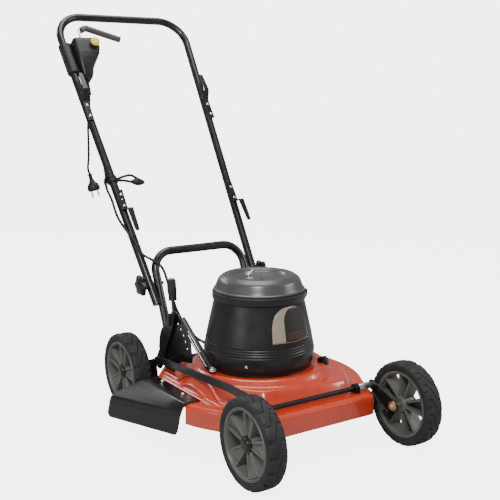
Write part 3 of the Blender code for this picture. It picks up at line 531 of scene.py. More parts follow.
LEAD_RADIUS = 0.00325
CABLE_RADIUS = 0.0035
PLUG_TOP = at(-0.1855, 0.868, 0.594)
PLUG_DOWN = np.array((0.24, -0.05, -0.95)) / np.linalg.norm((0.24, -0.05, -0.95))
GAP = 0.0003


def supply_lead(plug):
    """Round lead from the switch box down behind the leg, then hanging to its plug."""
    route = smooth_route([
        on_handle(-0.172, 0.6215, -0.0105), on_handle(-0.172, 0.6, -0.0105),
        on_handle(-0.178, 0.57, -0.015), on_handle(-0.188, 0.535, -0.0178),
        at(-0.1868, 0.8655, 0.745), at(-0.1864, 0.8676, 0.721), at(-0.1862, 0.868, 0.686),
        at(-0.1868, 0.8684, 0.643), PLUG_TOP - PLUG_DOWN * 0.018, PLUG_TOP - PLUG_DOWN * GAP], 40)
    lead = piece("supply_cord", swept(route, round_section(LEAD_RADIUS, 16)), RUBBER, "handle",
                 ["supply_lead"])


def plug_body():
    """Two-pin plug: collar, slim neck, body that widens like a bell, and two pins."""
    profile = rounded([(0.0, 0.0), (0.0078, 0.0), (0.0078, 0.0026), (0.0052, 0.0032), (0.0055, 0.014),
                       (0.0085, 0.023), (0.015, 0.03), (0.018, 0.04), (0.017, 0.047), (0.0, 0.0498)],
                      0.0006, 3)
    plug = piece("plug_body", turned(profile, PLUG_TOP, PLUG_DOWN, 48), RUBBER, "handle", ["lead_plug"])
    side = np.cross(PLUG_DOWN, (0, 1, 0))
    side /= np.linalg.norm(side)
    pin = [(0.0, 0.0), (0.0023, 0.0), (0.0023, 0.0205), (0.0012, 0.0222), (0.0, 0.0224)]
    roots = [PLUG_TOP + PLUG_DOWN * 0.046 + side * (0.0095 * k) for k in (-1, 1)]
    pins = [turned(pin, root, PLUG_DOWN, 16) for root in roots]
    piece("plug_pins", together(*pins), ZINC, "handle")
    return plug


def motor_cable():
    """One cable from the switch box down the right leg, over the fold and into the cover's rear."""
    upper = [on_handle(*place) for place in (
        (-0.158, 0.6215, -0.012), (-0.16, 0.6, -0.013), (-0.168, 0.56, -0.0175),
        (-0.18, 0.52, -0.0175), (-0.182, 0.44, -0.017), (-0.18, 0.38, -0.017),
        (-0.184, 0.325, -0.019), (-0.196, 0.285, -0.012), (-0.1975, 0.24, 0.0),
        (-0.199, 0.19, 0.006), (-0.192, 0.15, 0.012), (-0.176, 0.105, 0.018),
        (-0.168, 0.07, 0.0165))]
    lower = [at(*place) for place in (
        (-0.13, 0.559, 0.376), (-0.123, 0.534, 0.335), (-0.127, 0.502, 0.3),
        (-0.131, 0.47, 0.272), (-0.124, 0.442, 0.24), (-0.109, 0.42, 0.214),
        (-0.0925, 0.402, 0.2))]
    round_cable = swept(smooth_route(upper + lower, 220), round_section(CABLE_RADIUS, 14))
    cable = piece("motor_supply_cable", round_cable, RUBBER, None, ["handle_cable", "motor_cable"])
    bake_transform(cable)


# Wheels

SPOKES = 5
SPOKE_START = 100.0
TREAD_BLOCKS = 18
RIM_SEAT = 0.0796
CRANK_FACE_X = 0.1758


def tyre_section():
    """Half profile of the tyre from bead over shoulder to crown, mirrored, then the seat."""
    side = rounded([(RIM_SEAT + 0.0002, 0.0205), (0.0835, 0.0228), (0.0945, 0.023), (0.099, 0.0185),
                    (WHEEL_RADIUS, 0.011)], [0.003, 0.008, 0.004], 5)
    crown = np.linspace(0.0105, -0.0105, 21)[:, None]
    crown = np.hstack([np.full_like(crown, WHEEL_RADIUS), crown])
    far = side[::-1] * (1, -1)
    return np.concatenate([side, crown, far, side[:1]])


def tread_depth(angle, across):
    """Grooves of a Z that repeats round the tyre, with notches in the shoulders and two rings."""
    u = across / 0.021
    phase = angle * TREAD_BLOCKS / TURN
    bend = 0.55 * np.clip(2.6 * u, -1, 1)
    zed = np.abs((phase - bend) % 1.0 - 0.5)
    notch = np.abs((phase + 0.05 + 0.5 * (u > 0)) % 1.0 - 0.5)
    land = smoothstep(1.07, 0.98, np.abs(u))
    depth = 0.0024 * smoothstep(0.1, 0.05, zed) * smoothstep(0.93, 0.86, np.abs(u))
    depth += 0.0038 * smoothstep(0.15, 0.1, notch) * smoothstep(0.62, 0.74, np.abs(u))
    depth += 0.0007 * smoothstep(0.06, 0.03, np.abs(np.abs(u) - 0.62))
    return depth * land


def wheel_place(hub, across, radius, angle):
    """Places in a wheel: across along its axle, radius and angle round it."""
    across, radius, angle = np.broadcast_arrays(across, radius, angle)
    return hub + np.stack([across, radius * np.cos(angle), radius * np.sin(angle)], axis=-1)


def tyre(end, side, out):
    """Tyre as a ring: its section's radius less the tread's depth at each angle."""
    section = tyre_section()
    angle = bearings(TREAD_BLOCKS * 30)[None, :]
    crown = smoothstep(0.09, 0.094, section[:, :1])
    radius = section[:, :1] - crown * tread_depth(angle, section[:, 1:])
    points = wheel_place(HUBS[end, side], section[:, 1:] * out, radius, angle)
    piece(f"tyre_{end}_{side}", grid(points), TYRE, f"{end}_wheel_{side}", [f"{end}_tyre_{side}"], 30.0)


def spoke_half(share):
    """Half a spoke's width at a share of its length from the boss."""
    return 0.0055 + 0.0125 * share ** 0.9


def spoke_edge(hub, angle, turn, out):
    """One rib of a spoke: from the boss it swings away from its partner and ends near the barrel."""
    share = np.linspace(0, 1, 9)
    radius = 0.0165 + 0.054 * share
    path = wheel_place(hub, 0.0, radius, angle + turn * spoke_half(share) / radius)
    beside = np.cross(out * ACROSS, directions(path))
    width = 0.0056 - 0.001 * share
    high, low = 0.015 + 0.0035 * share, -0.0165 - 0.002 * share
    section = box_section(1.0, 1.0, 0.14, 3)
    swing = section[None, :, :1] * (width[:, None] * beside)[:, None]
    rise = (high + low)[:, None] / 2 + section[None, :, 1] * (high - low)[:, None]
    return capped(path[:, None] + swing + rise[..., None] * out * ACROSS)


def spoke_panel(hub, angle, out):
    """Dished panel between a spoke's two ribs, thick enough to stand alone."""
    share = np.linspace(0, 1, 12)[:, None]
    side = np.linspace(-1, 1, 9)[None, :]
    radius = 0.0175 + 0.053 * share
    dish = 0.0125 + 0.0035 * share - 0.003 * np.sin(math.pi * share) + 0.005 * side * share
    face = wheel_place(hub, out * dish, radius, angle + spoke_half(share) * side / radius)
    back = face[:, ::-1] - 0.0035 * out * ACROSS
    return capped(np.concatenate([face, back], axis=1))


def rim(end, side, out):
    """Deep barrel with two fine rings on its face, hub boss, and five spokes of two ribs and a panel,
    each joined to the barrel by a curved bridge."""
    hub = HUBS[end, side]
    axis = (out, 0, 0)
    barrel = [(RIM_SEAT, -0.0195), (RIM_SEAT, 0.0195), (0.0785, 0.0214), (0.0768, 0.0214), (0.0762, 0.0202),
              (0.0752, 0.0202), (0.0746, 0.0212), (0.0732, 0.0212), (0.0722, 0.0196), (0.0712, 0.015),
              (0.07, 0.004), (0.07, -0.004), (0.0712, -0.018), (0.0732, -0.0204), (0.0785, -0.0214)]
    boss = [(0.0066, -0.0205), (0.0165, -0.0205), (0.0185, -0.0185), (0.02, -0.003), (0.02, 0.003),
            (0.019, 0.0125), (0.0175, 0.014), (0.0066, 0.014)]
    parts = [turned(looped(barrel), hub, axis, 140), turned(looped(boss), hub, axis, 60)]
    for angle in math.radians(SPOKE_START) + TURN / SPOKES * np.arange(SPOKES):
        parts += [spoke_edge(hub, angle, turn, out) for turn in (-1, 1)]
        parts.append(spoke_panel(hub, angle, out))
        bridge = wheel_place(hub, out * 0.002, 0.0688, angle + np.linspace(-0.26, 0.26, 12))
        parts.append(swept(bridge, box_section(0.032, 0.003, 0.0008), first=ACROSS))
    piece(f"rim_{end}_{side}", together(*parts), RIM, f"{end}_wheel_{side}", [f"{end}_rim_{side}"], 32.0)


def hub_cap(end, side, out):
    """Black push-on cap: a stepped dome with six shallow flutes."""
    profile = rounded([(0.0, 0.0224), (0.008, 0.0224), (0.0142, 0.0208), (0.0152, 0.0182), (0.019, 0.017),
                       (0.0198, 0.0132), (0.0, 0.0132)], [0.001, 0.0015, 0.0008, 0.0012, 0.0004], 4)

    def flutes(angle):
        return 1 - 0.045 * smoothstep(0.012, 0.015, profile[:, :1]) * (0.5 + 0.5 * np.cos(6 * angle))
    cap = turned(profile, HUBS[end, side], (out, 0, 0), 72, flutes)
    piece(f"hub_cap_{end}_{side}", cap, CAP, f"{end}_wheel_{side}")


def hexagon(angle):
    """Radius of a hexagon over that of its corners' circle, at each angle."""
    sixth = math.pi / 3
    return math.cos(math.pi / 6) / np.cos(angle % sixth - sixth / 2)


def hex_nut(centre, axis, radius, height, flange=0.0):
    """Chamfered hexagon nut with a domed stud end, and a round flange under it if it has one."""
    body = [(0.0, 0.0), (radius, 0.0), (radius, height * 0.85), (radius * 0.9, height), (0.0, height)]
    stud = [(0.0, height * 0.5), (radius * 0.5, height * 0.5), (radius * 0.5, height * 1.35),
            (radius * 0.38, height * 1.5), (0.0, height * 1.5)]
    parts = [turned(body, centre, axis, 48, hexagon), turned(stud, centre, axis, 24)]
    if flange:
        plate = [(0.0, 0.0), (flange, 0.0), (flange * 0.97, height * 0.18), (radius, height * 0.3),
                 (0.0, height * 0.3)]
        parts.append(turned(plate, centre, axis, 40))
    return together(*parts)


def wheel_bolt(end, side, out):
    """Shoulder bolt's shank and head inside the hub, and its flange nut on the crank's inner face."""
    face = HUBS[end, side] - out * (HALF_TRACK - CRANK_FACE_X) * ACROSS
    shank = [(0.0, 0.0), (0.006, 0.0), (0.006, 0.055), (0.0098, 0.0551), (0.0098, 0.0608), (0.0, 0.0608)]
    nut = hex_nut(face, (-out, 0, 0), 0.0088, 0.0068, 0.0118)
    parts = together(turned(shank, face, (out, 0, 0), 32), nut)
    piece(f"flange_nut_{end}_{side}", parts, YELLOW_ZINC, f"{end}_axle", [f"{end}_wheel_bolt_{side}"])


# Running gear

AXLE_HALF = 0.1755
LIP_X = 0.1705
COLLAR_X = 0.1345
COLLAR = [(0.0, 0.0), (0.0076, 0.0), (0.008, 0.0006), (0.008, 0.04), (0.0076, 0.0408), (0.0, 0.0408)]


def axles():
    """Axle bars with their collars, brackets, cranks and link pins, and the linkage bar."""
    for end in ENDS:
        body = f"{end}_axle"
        y = AXLE_INSET if end == "front" else WHEELBASE - AXLE_INSET
        path = [at(x, y, AXLE_Z) for x in np.linspace(-AXLE_HALF, AXLE_HALF, 5)]
        piece(f"axle_bar_{end}", swept(path, round_section(0.006, 24)), BLACK, body, [f"{end}_axle_rod"])
        for side, out in SIDES.items():
            collar = turned(COLLAR, at(out * COLLAR_X, y, AXLE_Z), (out, 0, 0), 32)
            piece(f"axle_collar_{end}_{side}", collar, ZINC, body)
            eased(f"axle_bracket_{end}_{side}", f"{end}_axle_block_{side}", BLACK, "deck")
            eased(f"wheel_crank_{end}_{side}", f"{end}_crank_{side}", BLACK, body, 0.0009)
            crank_lip(end, side, out, y)
        eased(f"linkage_pin_{end}", f"{end}_link_pin", ZINC, body, 0.0004)
    eased("linkage_bar", "link_bar", BLACK, "height_link", 0.0012)


def crank_lip(end, side, out, y):
    """Stiffening lip folded along the crank's lower edge, towards the deck."""
    sign, hub_y = (-1, 0.0) if end == "front" else (1, WHEELBASE)
    start = at(out * LIP_X, y + sign * 0.01, AXLE_Z - 0.013)
    stop = at(out * LIP_X, hub_y - sign * 0.006, WHEEL_RADIUS - 0.0145)
    path = start + (stop - start) * np.linspace(0, 1, 5)[:, None]
    lip = swept(path, box_section(0.011, 0.0026, 0.0008), first=ACROSS)
    piece(f"crank_lip_{end}_{side}", lip, BLACK, f"{end}_axle")


# Deck

DECK_BOTTOM = 0.0736
LEDGE_Z = 0.1215
DECK_TOP = 0.1665
SWATH_RADIUS = 0.2575
SHEET = 0.0018


def deck_reach(angle):
    """Distance from the blade axis to the skirt: a circle, straight sides to four corners, and flat
    ends, all smoothed over a few degrees."""
    fine = bearings(1440)
    across, back = np.abs(np.cos(fine)), np.abs(np.sin(fine))
    corner_x = np.where(np.sin(fine) < 0, 0.154, 0.12)
    shoulder = np.array((0.215, math.sqrt(SWATH_RADIUS ** 2 - 0.215 ** 2)))
    normal = np.stack([np.full_like(corner_x, SWATH_RADIUS) - shoulder[1], shoulder[0] - corner_x])
    normal /= np.linalg.norm(normal, axis=0)
    straight = (normal[0] * shoulder[0] + normal[1] * shoulder[1]) / (normal[0] * across + normal[1] * back)
    flat = SWATH_RADIUS / np.maximum(back, 1e-6)
    reach = np.where(back * corner_x >= across * SWATH_RADIUS, flat,
                     np.where(back * shoulder[0] >= across * shoulder[1], straight, SWATH_RADIUS))
    spread = np.hanning(25)
    padded = np.concatenate([reach[-12:], reach, reach[:12]])
    reach = np.convolve(padded, spread / spread.sum(), mode="valid")
    return np.interp(angle % TURN, np.append(fine, TURN), np.append(reach, reach[0]))


def deck_height(angle, radius, reach):
    """Height of the deck's top: the dome falls to a terrace and then to the ledge; the terrace swings
    out into a volute at the front left."""
    inset = reach - radius
    volute = np.exp(-((np.degrees(angle) + 48.0) / 34.0) ** 2)
    foot = 0.19 + 0.35 * (reach - SWATH_RADIUS) + 0.03 * volute
    inner = 0.168 + 0.004 * volute
    terrace = 0.152 - 0.004 * volute
    height = LEDGE_Z + (terrace - LEDGE_Z) * smoothstep(foot + 0.01, foot - 0.014, radius)
    height = height + (DECK_TOP - terrace) * smoothstep(inner + 0.008, inner - 0.012, radius)
    height = height - 0.005 * smoothstep(0.148, 0.134, radius)
    lip = 0.002 * smoothstep(0.006, 0.01, inset) * smoothstep(0.016, 0.012, inset)
    return height + lip * smoothstep(-0.19, -0.16, radius * np.cos(angle))


def deck(columns=360):
    """Skirt, rolled shoulder and pressed top as rows round the blade axis, open at the discharge."""
    angle = np.linspace(-math.pi, math.pi, columns, endpoint=False)[None, :]
    reach = deck_reach(angle)
    skirt = [(-0.0026, DECK_BOTTOM), (-0.0006, DECK_BOTTOM + 0.0004), (0.0, DECK_BOTTOM + 0.003)]
    skirt += [(-0.0003, z) for z in np.linspace(DECK_BOTTOM + 0.008, 0.11, 6)]
    arc = np.linspace(0, math.pi / 2, 8)[1:]
    shoulder = np.stack([-0.01 * (1 - np.cos(arc)), 0.1115 + 0.01 * np.sin(arc)], axis=1)
    sides = np.concatenate([skirt, shoulder])
    share = np.linspace(0, 1, 96)[1:, None]
    top_radius = (reach - 0.0105) * (1 - share) + 0.118 * share
    top_height = deck_height(angle, top_radius, reach)
    side_height = np.broadcast_to(sides[:, 1:], (len(sides), columns))
    radius = np.concatenate([reach + sides[:, :1], top_radius, np.full_like(reach, 0.052)])
    height = np.concatenate([side_height, top_height, np.full_like(reach, DECK_TOP - 0.0055)])
    points = np.stack([radius * np.cos(angle), radius * np.sin(angle) + BLADE_Y, height], axis=-1) + DATUM
    places, quads = grid(points)
    x, y, z = (places[quads].mean(axis=1) - DATUM).T
    opening = (x < -0.205) & (y > 0.228) & (y < 0.425) & (z < 0.1125)
    walled(piece("deck_pressing", (places, quads[~opening]), RED, "deck", ["deck_shell"], 50.0), SHEET)


# Each bead: x, and where it starts and stops along y
DECK_BEADS = ((-0.203, 0.16, 0.44), (-0.189, 0.13, 0.462), (-0.1745, 0.108, 0.478))


def deck_beads():
    """Three ribs along the right side: a flat oval carried along a line on the deck's top, fading out
    at both ends."""
    for k, (x, first, last) in enumerate(DECK_BEADS):
        y = np.linspace(first, last, 90)
        across, back = x + 0.012 * smoothstep(0.17, 0.1, y), y - BLADE_Y
        angle, radius = np.arctan2(back, across), np.hypot(across, back)
        z = deck_height(angle, radius, deck_reach(angle)) - 0.0006
        fade = np.minimum(smoothstep(first, first + 0.03, y), smoothstep(last, last - 0.03, y))
        path = np.stack([across, y, z], axis=1) + DATUM
        section = round_section(1.0, 28) * (0.0052, 0.0042)
        bead = swept(path, section, 0.15 + 0.85 * fade, first=ACROSS)
        piece(f"deck_bead_{k + 1}", bead, RED, "deck", sharp=60.0)


def deflector(rows=40):
    """Bent sheet: its section runs flat, slopes, turns down and hangs; it widens rearwards, its lower
    corners are round and a bead runs along the flap."""
    # Corners of the section at the front and at the rear edge
    front = np.array(((-0.212, 0.222, 0.1245), (-0.25, 0.226, 0.124), (-0.256, 0.234, 0.1),
                      (-0.263, 0.24, 0.045)))
    rear = np.array(((-0.212, 0.432, 0.1245), (-0.252, 0.432, 0.124), (-0.3385, 0.432, 0.1),
                     (-0.3425, 0.444, 0.045)))
    corner_radius = 0.01
    fall = np.linspace(1, 0, 10)
    outward = np.array((-1.0, -0.3, 0.0)) / math.hypot(1.0, 0.3)
    bead = 0.0014 * np.exp(-((fall - 0.74) / 0.09) ** 2)[:, None] * outward
    points = []
    for share in np.linspace(0, 1, rows):
        corners = front * (1 - share) + rear * share
        short = max(0.0, 1 - min(share, 1 - share) * 0.21 / corner_radius)
        corners[3, 2] += corner_radius * (1 - math.sqrt(1 - short ** 2))
        bent = rounded(corners, [0.01 * min(1.0, 0.4 + share), 0.009 if share > 0.1 else 0.006], 6)
        flap = bent[-1] + (bent[-2] - bent[-1]) * fall[:, None]
        points.append(np.concatenate([bent[:-2], flap + bead]))
    sheet = grid(np.array(points) + DATUM, closed=False)
    walled(piece("deflector_sheet", sheet, BLACK, "deck", ["discharge_deflector"], 60.0), SHEET, 0.0)


def dome_bolt(centre, axis, radius, height):
    """Round head with a small flat rim."""
    arc = np.linspace(0, math.pi / 2, 7)
    profile = [(0.0, -0.001), (radius, -0.001), (radius, height * 0.25)]
    profile += [(radius * math.cos(a), height * (0.25 + 0.75 * math.sin(a))) for a in arc]
    return turned(profile, centre, axis, 28)


def deck_fasteners():
    """The deflector's two bolts, and the rubber grommet that leans out of the deck."""
    places = at((-0.217, 0.393, 0.1252), (-0.223, 0.283, 0.1252))
    bolts = [dome_bolt(place, (0, 0, 1), 0.005, 0.0034) for place in places]
    piece("deflector_bolts", together(*bolts), ZINC, "deck")
    peg = [(0.0, 0.0), (0.0105, 0.0), (0.012, 0.002), (0.012, 0.02), (0.01, 0.0225), (0.0, 0.0225)]
    grommet = turned(peg, at(0.117, 0.203, 0.164), (0.55, -0.75, 0.35), 36)
    piece("deck_grommet", grommet, SOFT_CAP, "deck")


# Height adjustment

def height_parts():
    """Quadrant, left foot bracket, and the lever with its strut, grip and plunger."""
    eased("quadrant_plate", "height_quadrant", BLACK, "deck")
    eased("left_foot_bracket", "handle_bracket_left", BLACK, "deck")
    eased("lever_arm", "height_lever", BLACK, "rear_axle", 0.0009)
    quadrant_strut()
    lever_grip()


def quadrant_strut():
    """Flat strut from the quadrant's top down to a nut on the deck, and a zinc rod that paints its edge's
    highlight.
    """
    corners = at((-0.147, 0.415, 0.27), (-0.147, 0.275, 0.176), (-0.147, 0.26, 0.172))
    strut = swept(rounded(corners, 0.006), box_section(0.012, 0.0022, 0.0007), first=ACROSS)
    piece("quadrant_strut", strut, BLACK, "deck")
    # Painted highlight: a thin bright zinc rod laid along the black strut's outer edge.
    upper, lower = at((-0.1574, 0.3705, 0.2362), (-0.1574, 0.286, 0.179))
    path = upper + (lower - upper) * np.linspace(0, 1, 4)[:, None]
    piece("strut_edge_painted_highlight", swept(path, round_section(0.0011, 10)), ZINC, "deck")
    nut = hex_nut(at(-0.151, 0.266, 0.1735), (0, 0, 1), 0.0078, 0.006, 0.01)
    piece("strut_nut", nut, ZINC, "deck")


def lever_grip():
    """Fluted rubber grip, the dished cap in its end, and the detent plunger beside the lever."""
    foot, top = at((-0.162, 0.4366, 0.3112), (-0.162, 0.4447, 0.3643))
    length = float(np.linalg.norm(top - foot))
    cap = np.array([(0.0, 0.0005), (0.0018, 0.0005), (0.0022, 0.0022), (0.005, 0.0026), (0.0085, 0.0012),
                    (0.0104, -0.0015), (0.0, -0.004)])
    piece("grip_end_cap", turned(cap + (0.0, length), foot, top - foot, 48), RIM, "rear_axle")
    profile = rounded([(0.0, length - 0.002), (0.01, length - 0.002), (0.0114, length - 0.0028),
                       (0.0113, 0.024), (0.01, 0.012), (0.0104, 0.0), (0.0, 0.0)], 0.0004, 3)
    height = profile[:, 1:]
    fluted = smoothstep(0.006, 0.012, height) * smoothstep(length - 0.004, length - 0.01, height)
    grip = turned(profile, foot, top - foot, 96, lambda angle: 1 + 0.03 * fluted * np.cos(12 * angle))
    piece("lever_hand_grip", grip, GRIP, "rear_axle", ["lever_grip"])
    tube = [(0.0, 0.0), (0.0052, 0.0), (0.0058, 0.0006), (0.0058, 0.03), (0.0052, 0.0306), (0.0, 0.0306)]
    plunger = turned(tube, at(-0.1715, 0.4404, 0.248), (0, -0.12, 0.99), 28)
    piece("detent_plunger", plunger, BLACK, "rear_axle")


# Motor cover

COVER_FOOT = [(0.124, 0.161), (0.129, 0.162), (0.13, 0.17), (0.1318, 0.1712), (0.1345, 0.18),
              (0.1362, 0.192), (0.1366, 0.206)]
SCREW_TURN = -137.0
NUB_TURN = -29.0


def cover_profile():
    """Foot, belly with four ring grooves, straight cone, and the lip under the lid."""
    foot = rounded(COVER_FOOT, [0.0015, 0.001, 0.001, 0.01, 0.01], 5)
    cone_z = np.linspace(0.2065, 0.324, 110)
    cone_r = np.interp(cone_z, [0.206, 0.245, 0.327], [0.1366, 0.129, 0.1108])
    grooves = sum(np.exp(-((cone_z - z) / 0.0012) ** 2) for z in (0.21, 0.216, 0.222, 0.228))
    cone = np.stack([cone_r - 0.0011 * grooves, cone_z], axis=1)
    lip = rounded([(0.1112, 0.3265), (0.115, 0.329), (0.1152, 0.3455), (0.112, 0.347), (0.095, 0.347)],
                  [0.0015, 0.0016, 0.001], 5)
    return np.concatenate([foot, cone, lip])


def motor_cover():
    """Cover, lid with its raised rim and dish, and the small parts on them."""
    centre = at(0.0, BLADE_Y, 0.0)
    shell = turned(cover_profile(), centre, steps=192)
    walled(piece("cover_shell", shell, CHARCOAL, "deck", ["motor_cover"], 45.0), 0.0025)
    profile = rounded([(0.1115, 0.3472), (0.1118, 0.352), (0.1085, 0.3538), (0.106, 0.36),
                       (0.1, 0.376), (0.086, 0.386), (0.07, 0.3862), (0.062, 0.3775),
                       (0.056, 0.3765), (0.0, 0.3758)],
                      [0.0008, 0.0012, 0.003, 0.016, 0.014, 0.01, 0.006, 0.004], 7)
    # Lid and pad take the lighter grey of painted sheen, not the cover's charcoal.
    lid = turned(profile, centre, steps=160)
    walled(piece("cover_cap", lid, LID_PAINTED_SHEEN, "deck", ["cover_lid"], 50.0), 0.0022)
    lens = [(0.0, 0.0), (0.023, 0.0), (0.024, 0.001), (0.02, 0.003), (0.0, 0.0034)]
    piece("lid_pad", turned(lens, at(0.016, 0.272, 0.3758), steps=64), LID_PAINTED_SHEEN, "deck")
    wing_nut(at(-0.011, 0.3215, 0.3765))
    screw = dome_bolt(cover_point(SCREW_TURN, 0.189), cover_normal(SCREW_TURN), 0.0036, 0.0022)
    piece("cover_screw", screw, ZINC, "deck")
    path = [cover_point(NUB_TURN, z, 0.0006) for z in np.linspace(0.328, 0.345, 4)]
    nub = swept(path, box_section(0.016, 0.006, 0.002), first=np.cross((0, 0, 1), cover_normal(NUB_TURN)))
    piece("latch_nub", nub, CHARCOAL, "deck")


def cover_point(turn, z, proud=0.0):
    """Place on the cover's outer face, at degrees round from +x and at a height."""
    profile = cover_profile()
    order = np.argsort(profile[:, 1])
    radius = np.interp(z, profile[order, 1], profile[order, 0]) + proud
    angle = np.radians(turn)
    place = np.stack([radius * np.cos(angle), radius * np.sin(angle), z + 0 * angle], axis=-1)
    return at(0.0, BLADE_Y, 0.0) + place


def cover_normal(turn):
    """Level direction out of the cover, at degrees round from +x."""
    angle = math.radians(turn)
    return np.array((math.cos(angle), math.sin(angle), 0.0))


def wing_nut(centre):
    """Conical hub with two leaf-shaped wings that lean outwards."""
    parts = [turned(rounded([(0.0, 0.0), (0.0075, 0.0), (0.006, 0.008), (0.0035, 0.0085), (0.0035, 0.011),
                             (0.0, 0.011)], 0.0006, 3), centre, steps=36)]
    share = np.linspace(0, 1, 12)
    rise = 0.004 + 0.0085 * share ** 1.5
    width = 0.55 + 0.6 * np.sin(math.pi * (0.15 + 0.8 * share))
    for k in (-1, 1):
        lean = np.stack([k * (0.004 + 0.011 * share), k * 0.004 * share, rise], axis=1)
        parts.append(swept(centre + lean, box_section(0.0026, 0.0085, 0.001), width))
    piece("lid_wing_nut", together(*parts), CHROME, "deck")


def label_patch(name, look, left, right, bottom, top, arch, proud, lean=0.0):
    """Thin patch on the cover between two bearings and two heights; its top is a rounded arch, or, as
    it leans, one that falls to the left only."""
    across = np.linspace(-1, 1, 33)[None, :]
    up = np.linspace(0, 1, 25)[:, None]
    centre, half = (left + right) / 2, (right - left) / 2
    offset = across * (1 - lean / 2) - lean / 2
    crown = top - arch * (1 - np.sqrt(np.maximum(0.0, 1 - np.abs(offset) ** 2.6)))
    height = bottom + (crown - bottom) * up
    turn = np.broadcast_to(centre + half * across, height.shape)
    walled(piece(name, grid(cover_point(turn, height, proud), closed=False), look, "deck"), 0.0003)


def label():
    """Plain label: border, pale stripe at the left, dark field and a low band."""
    label_patch("label_border", LABEL_FRAME, -110.0, -58.0, 0.242, 0.324, 0.046, 0.0006)
    label_patch("label_stripe_left", LABEL_STRIPE, -108.8, -91.0, 0.2438, 0.313, 0.034, 0.0009, lean=0.9)
    label_patch("label_field_dark", LABEL_FIELD, -95.0, -59.4, 0.2438, 0.3222, 0.03, 0.0012)
    label_patch("label_band_low", LABEL_BAND, -92.0, -62.0, 0.247, 0.264, 0.002, 0.0015)


# Handles

HOOP_X = 0.1365
HOOP_FOOT_Z, HOOP_TOP_Z = 0.198, 0.406
LEG_END, PUSH_BAR = -0.07, 0.8408
CLIP_ALONG = 0.296
TIE_ALONG = 0.306
STUD_END_X = 0.1225

# Each hook, in the handle's plane: corners (along, ahead) of the strap, places of its two bolts, where
# its taper starts and ends, and the place along the leg that it is centred on
HOOKS = {
    "upper": ([(0.482, 0.0128), (0.545, 0.0128), (0.568, 0.0345), (0.624, 0.03)], (0.496, 0.53),
              (0.545, 0.626), 0.5525),
    "lower": ([(0.262, 0.0128), (0.2025, 0.0128), (0.193, 0.042), (0.124, 0.046)], (0.247, 0.213),
              (0.193, 0.122), 0.1975)}


def handles():
    """The two bent tubes: the lower hoop, and the upper handle with its push bar."""
    section = round_section(TUBE_RADIUS - 0.0001, 32)
    corners = [(side * HOOP_X, FOLD_Y + 0.42 * (z - FOLD_Z), z) for side, z in (
        (-1, HOOP_FOOT_Z), (-1, HOOP_TOP_Z), (1, HOOP_TOP_Z), (1, HOOP_FOOT_Z))]
    hoop = swept(rounded(at(*corners), 0.055, 20), section)
    piece("lower_hoop", hoop, BLACK, "deck", ["lower_handle"])
    turns = ((-1, LEG_END), (-1, PUSH_BAR), (1, PUSH_BAR), (1, LEG_END))
    path = rounded([on_handle(side * leg_x(along), along) for side, along in turns], 0.078, 24)
    piece("push_bar", swept(path, section), BLACK, "handle", ["upper_handle"])


def star_knob(side, out):
    """Six-lobed hand knob: each section's radius swells with the cosine of six times the angle."""
    face = LEG_FOOT_X + TUBE_RADIUS + 0.0006
    # Each section: radius, depth of its lobes, height over the leg's outer face
    sections = np.array([
        (0.0038, 0.0, STUD_END_X - face), (0.0038, 0.0, 0.0), (0.0118, 0.0, 0.0002), (0.0118, 0.0, 0.0045),
        (0.015, 0.02, 0.006), (0.0228, 0.13, 0.0068), (0.0246, 0.14, 0.009), (0.025, 0.145, 0.013),
        (0.0242, 0.14, 0.017), (0.0215, 0.12, 0.02), (0.016, 0.05, 0.0206), (0.012, 0.0, 0.0222),
        (0.008, 0.0, 0.0232), (0.0001, 0.0, 0.0234)])
    knob = turned(sections[:, (0, 2)], at(out * face, BOLT_Y, BOLT_Z), (out, 0, 0), 144,
                  lambda angle: 1 + sections[:, 1:2] * np.cos(6 * angle))
    piece(f"hand_knob_{side}", knob, KNOB, f"knob_{side}", [f"star_knob_{side}"], 45.0)


def cord_hook(level, side, out):
    """Bolted strap that steps off the leg into a tapering tongue: a flat bar of changing width."""
    corners, bolts, taper, mid = HOOKS[level]
    bent = rounded(corners, 0.0035, 6)
    lengths = np.concatenate([[0], np.cumsum(np.linalg.norm(np.diff(bent, axis=0), axis=1))])
    even = np.linspace(0, lengths[-1], 60)
    along, ahead = (np.interp(even, lengths, bent[:, i]) for i in (0, 1))
    reach = np.clip((along - taper[0]) / (taper[1] - taper[0]), 0, 1)
    tip = np.sqrt(1 - np.clip(reach - 0.86, 0, 1) ** 2 / 0.14 ** 2 * 0.75)
    width = 0.0168 * (1 - 0.3 * reach) * tip
    x = out * leg_x(mid)
    path = on_handle(x, along, ahead)
    section = box_section(1.0, 1.0, 0.08, 3)
    normal = np.cross(directions(path), ACROSS)
    strap = capped(path[:, None] + section[None, :, :1] * width[:, None, None] * ACROSS
                   + section[None, :, 1:] * 0.0025 * normal[:, None])
    piece(f"lead_hook_{level}_{side}", strap, BLACK, "handle", [f"{level}_cord_hook_{side}"], 40.0)
    heads = [dome_bolt(on_handle(x, a, 0.0141), AHEAD, 0.004, 0.0026) for a in bolts]
    if level == "lower" and side == "right":
        heads.append(dome_bolt(on_handle(x, 0.232, 0.0141), AHEAD, 0.0022, 0.0014))
    piece(f"hook_bolts_{level}_{side}", together(*heads), ZINC, "handle")


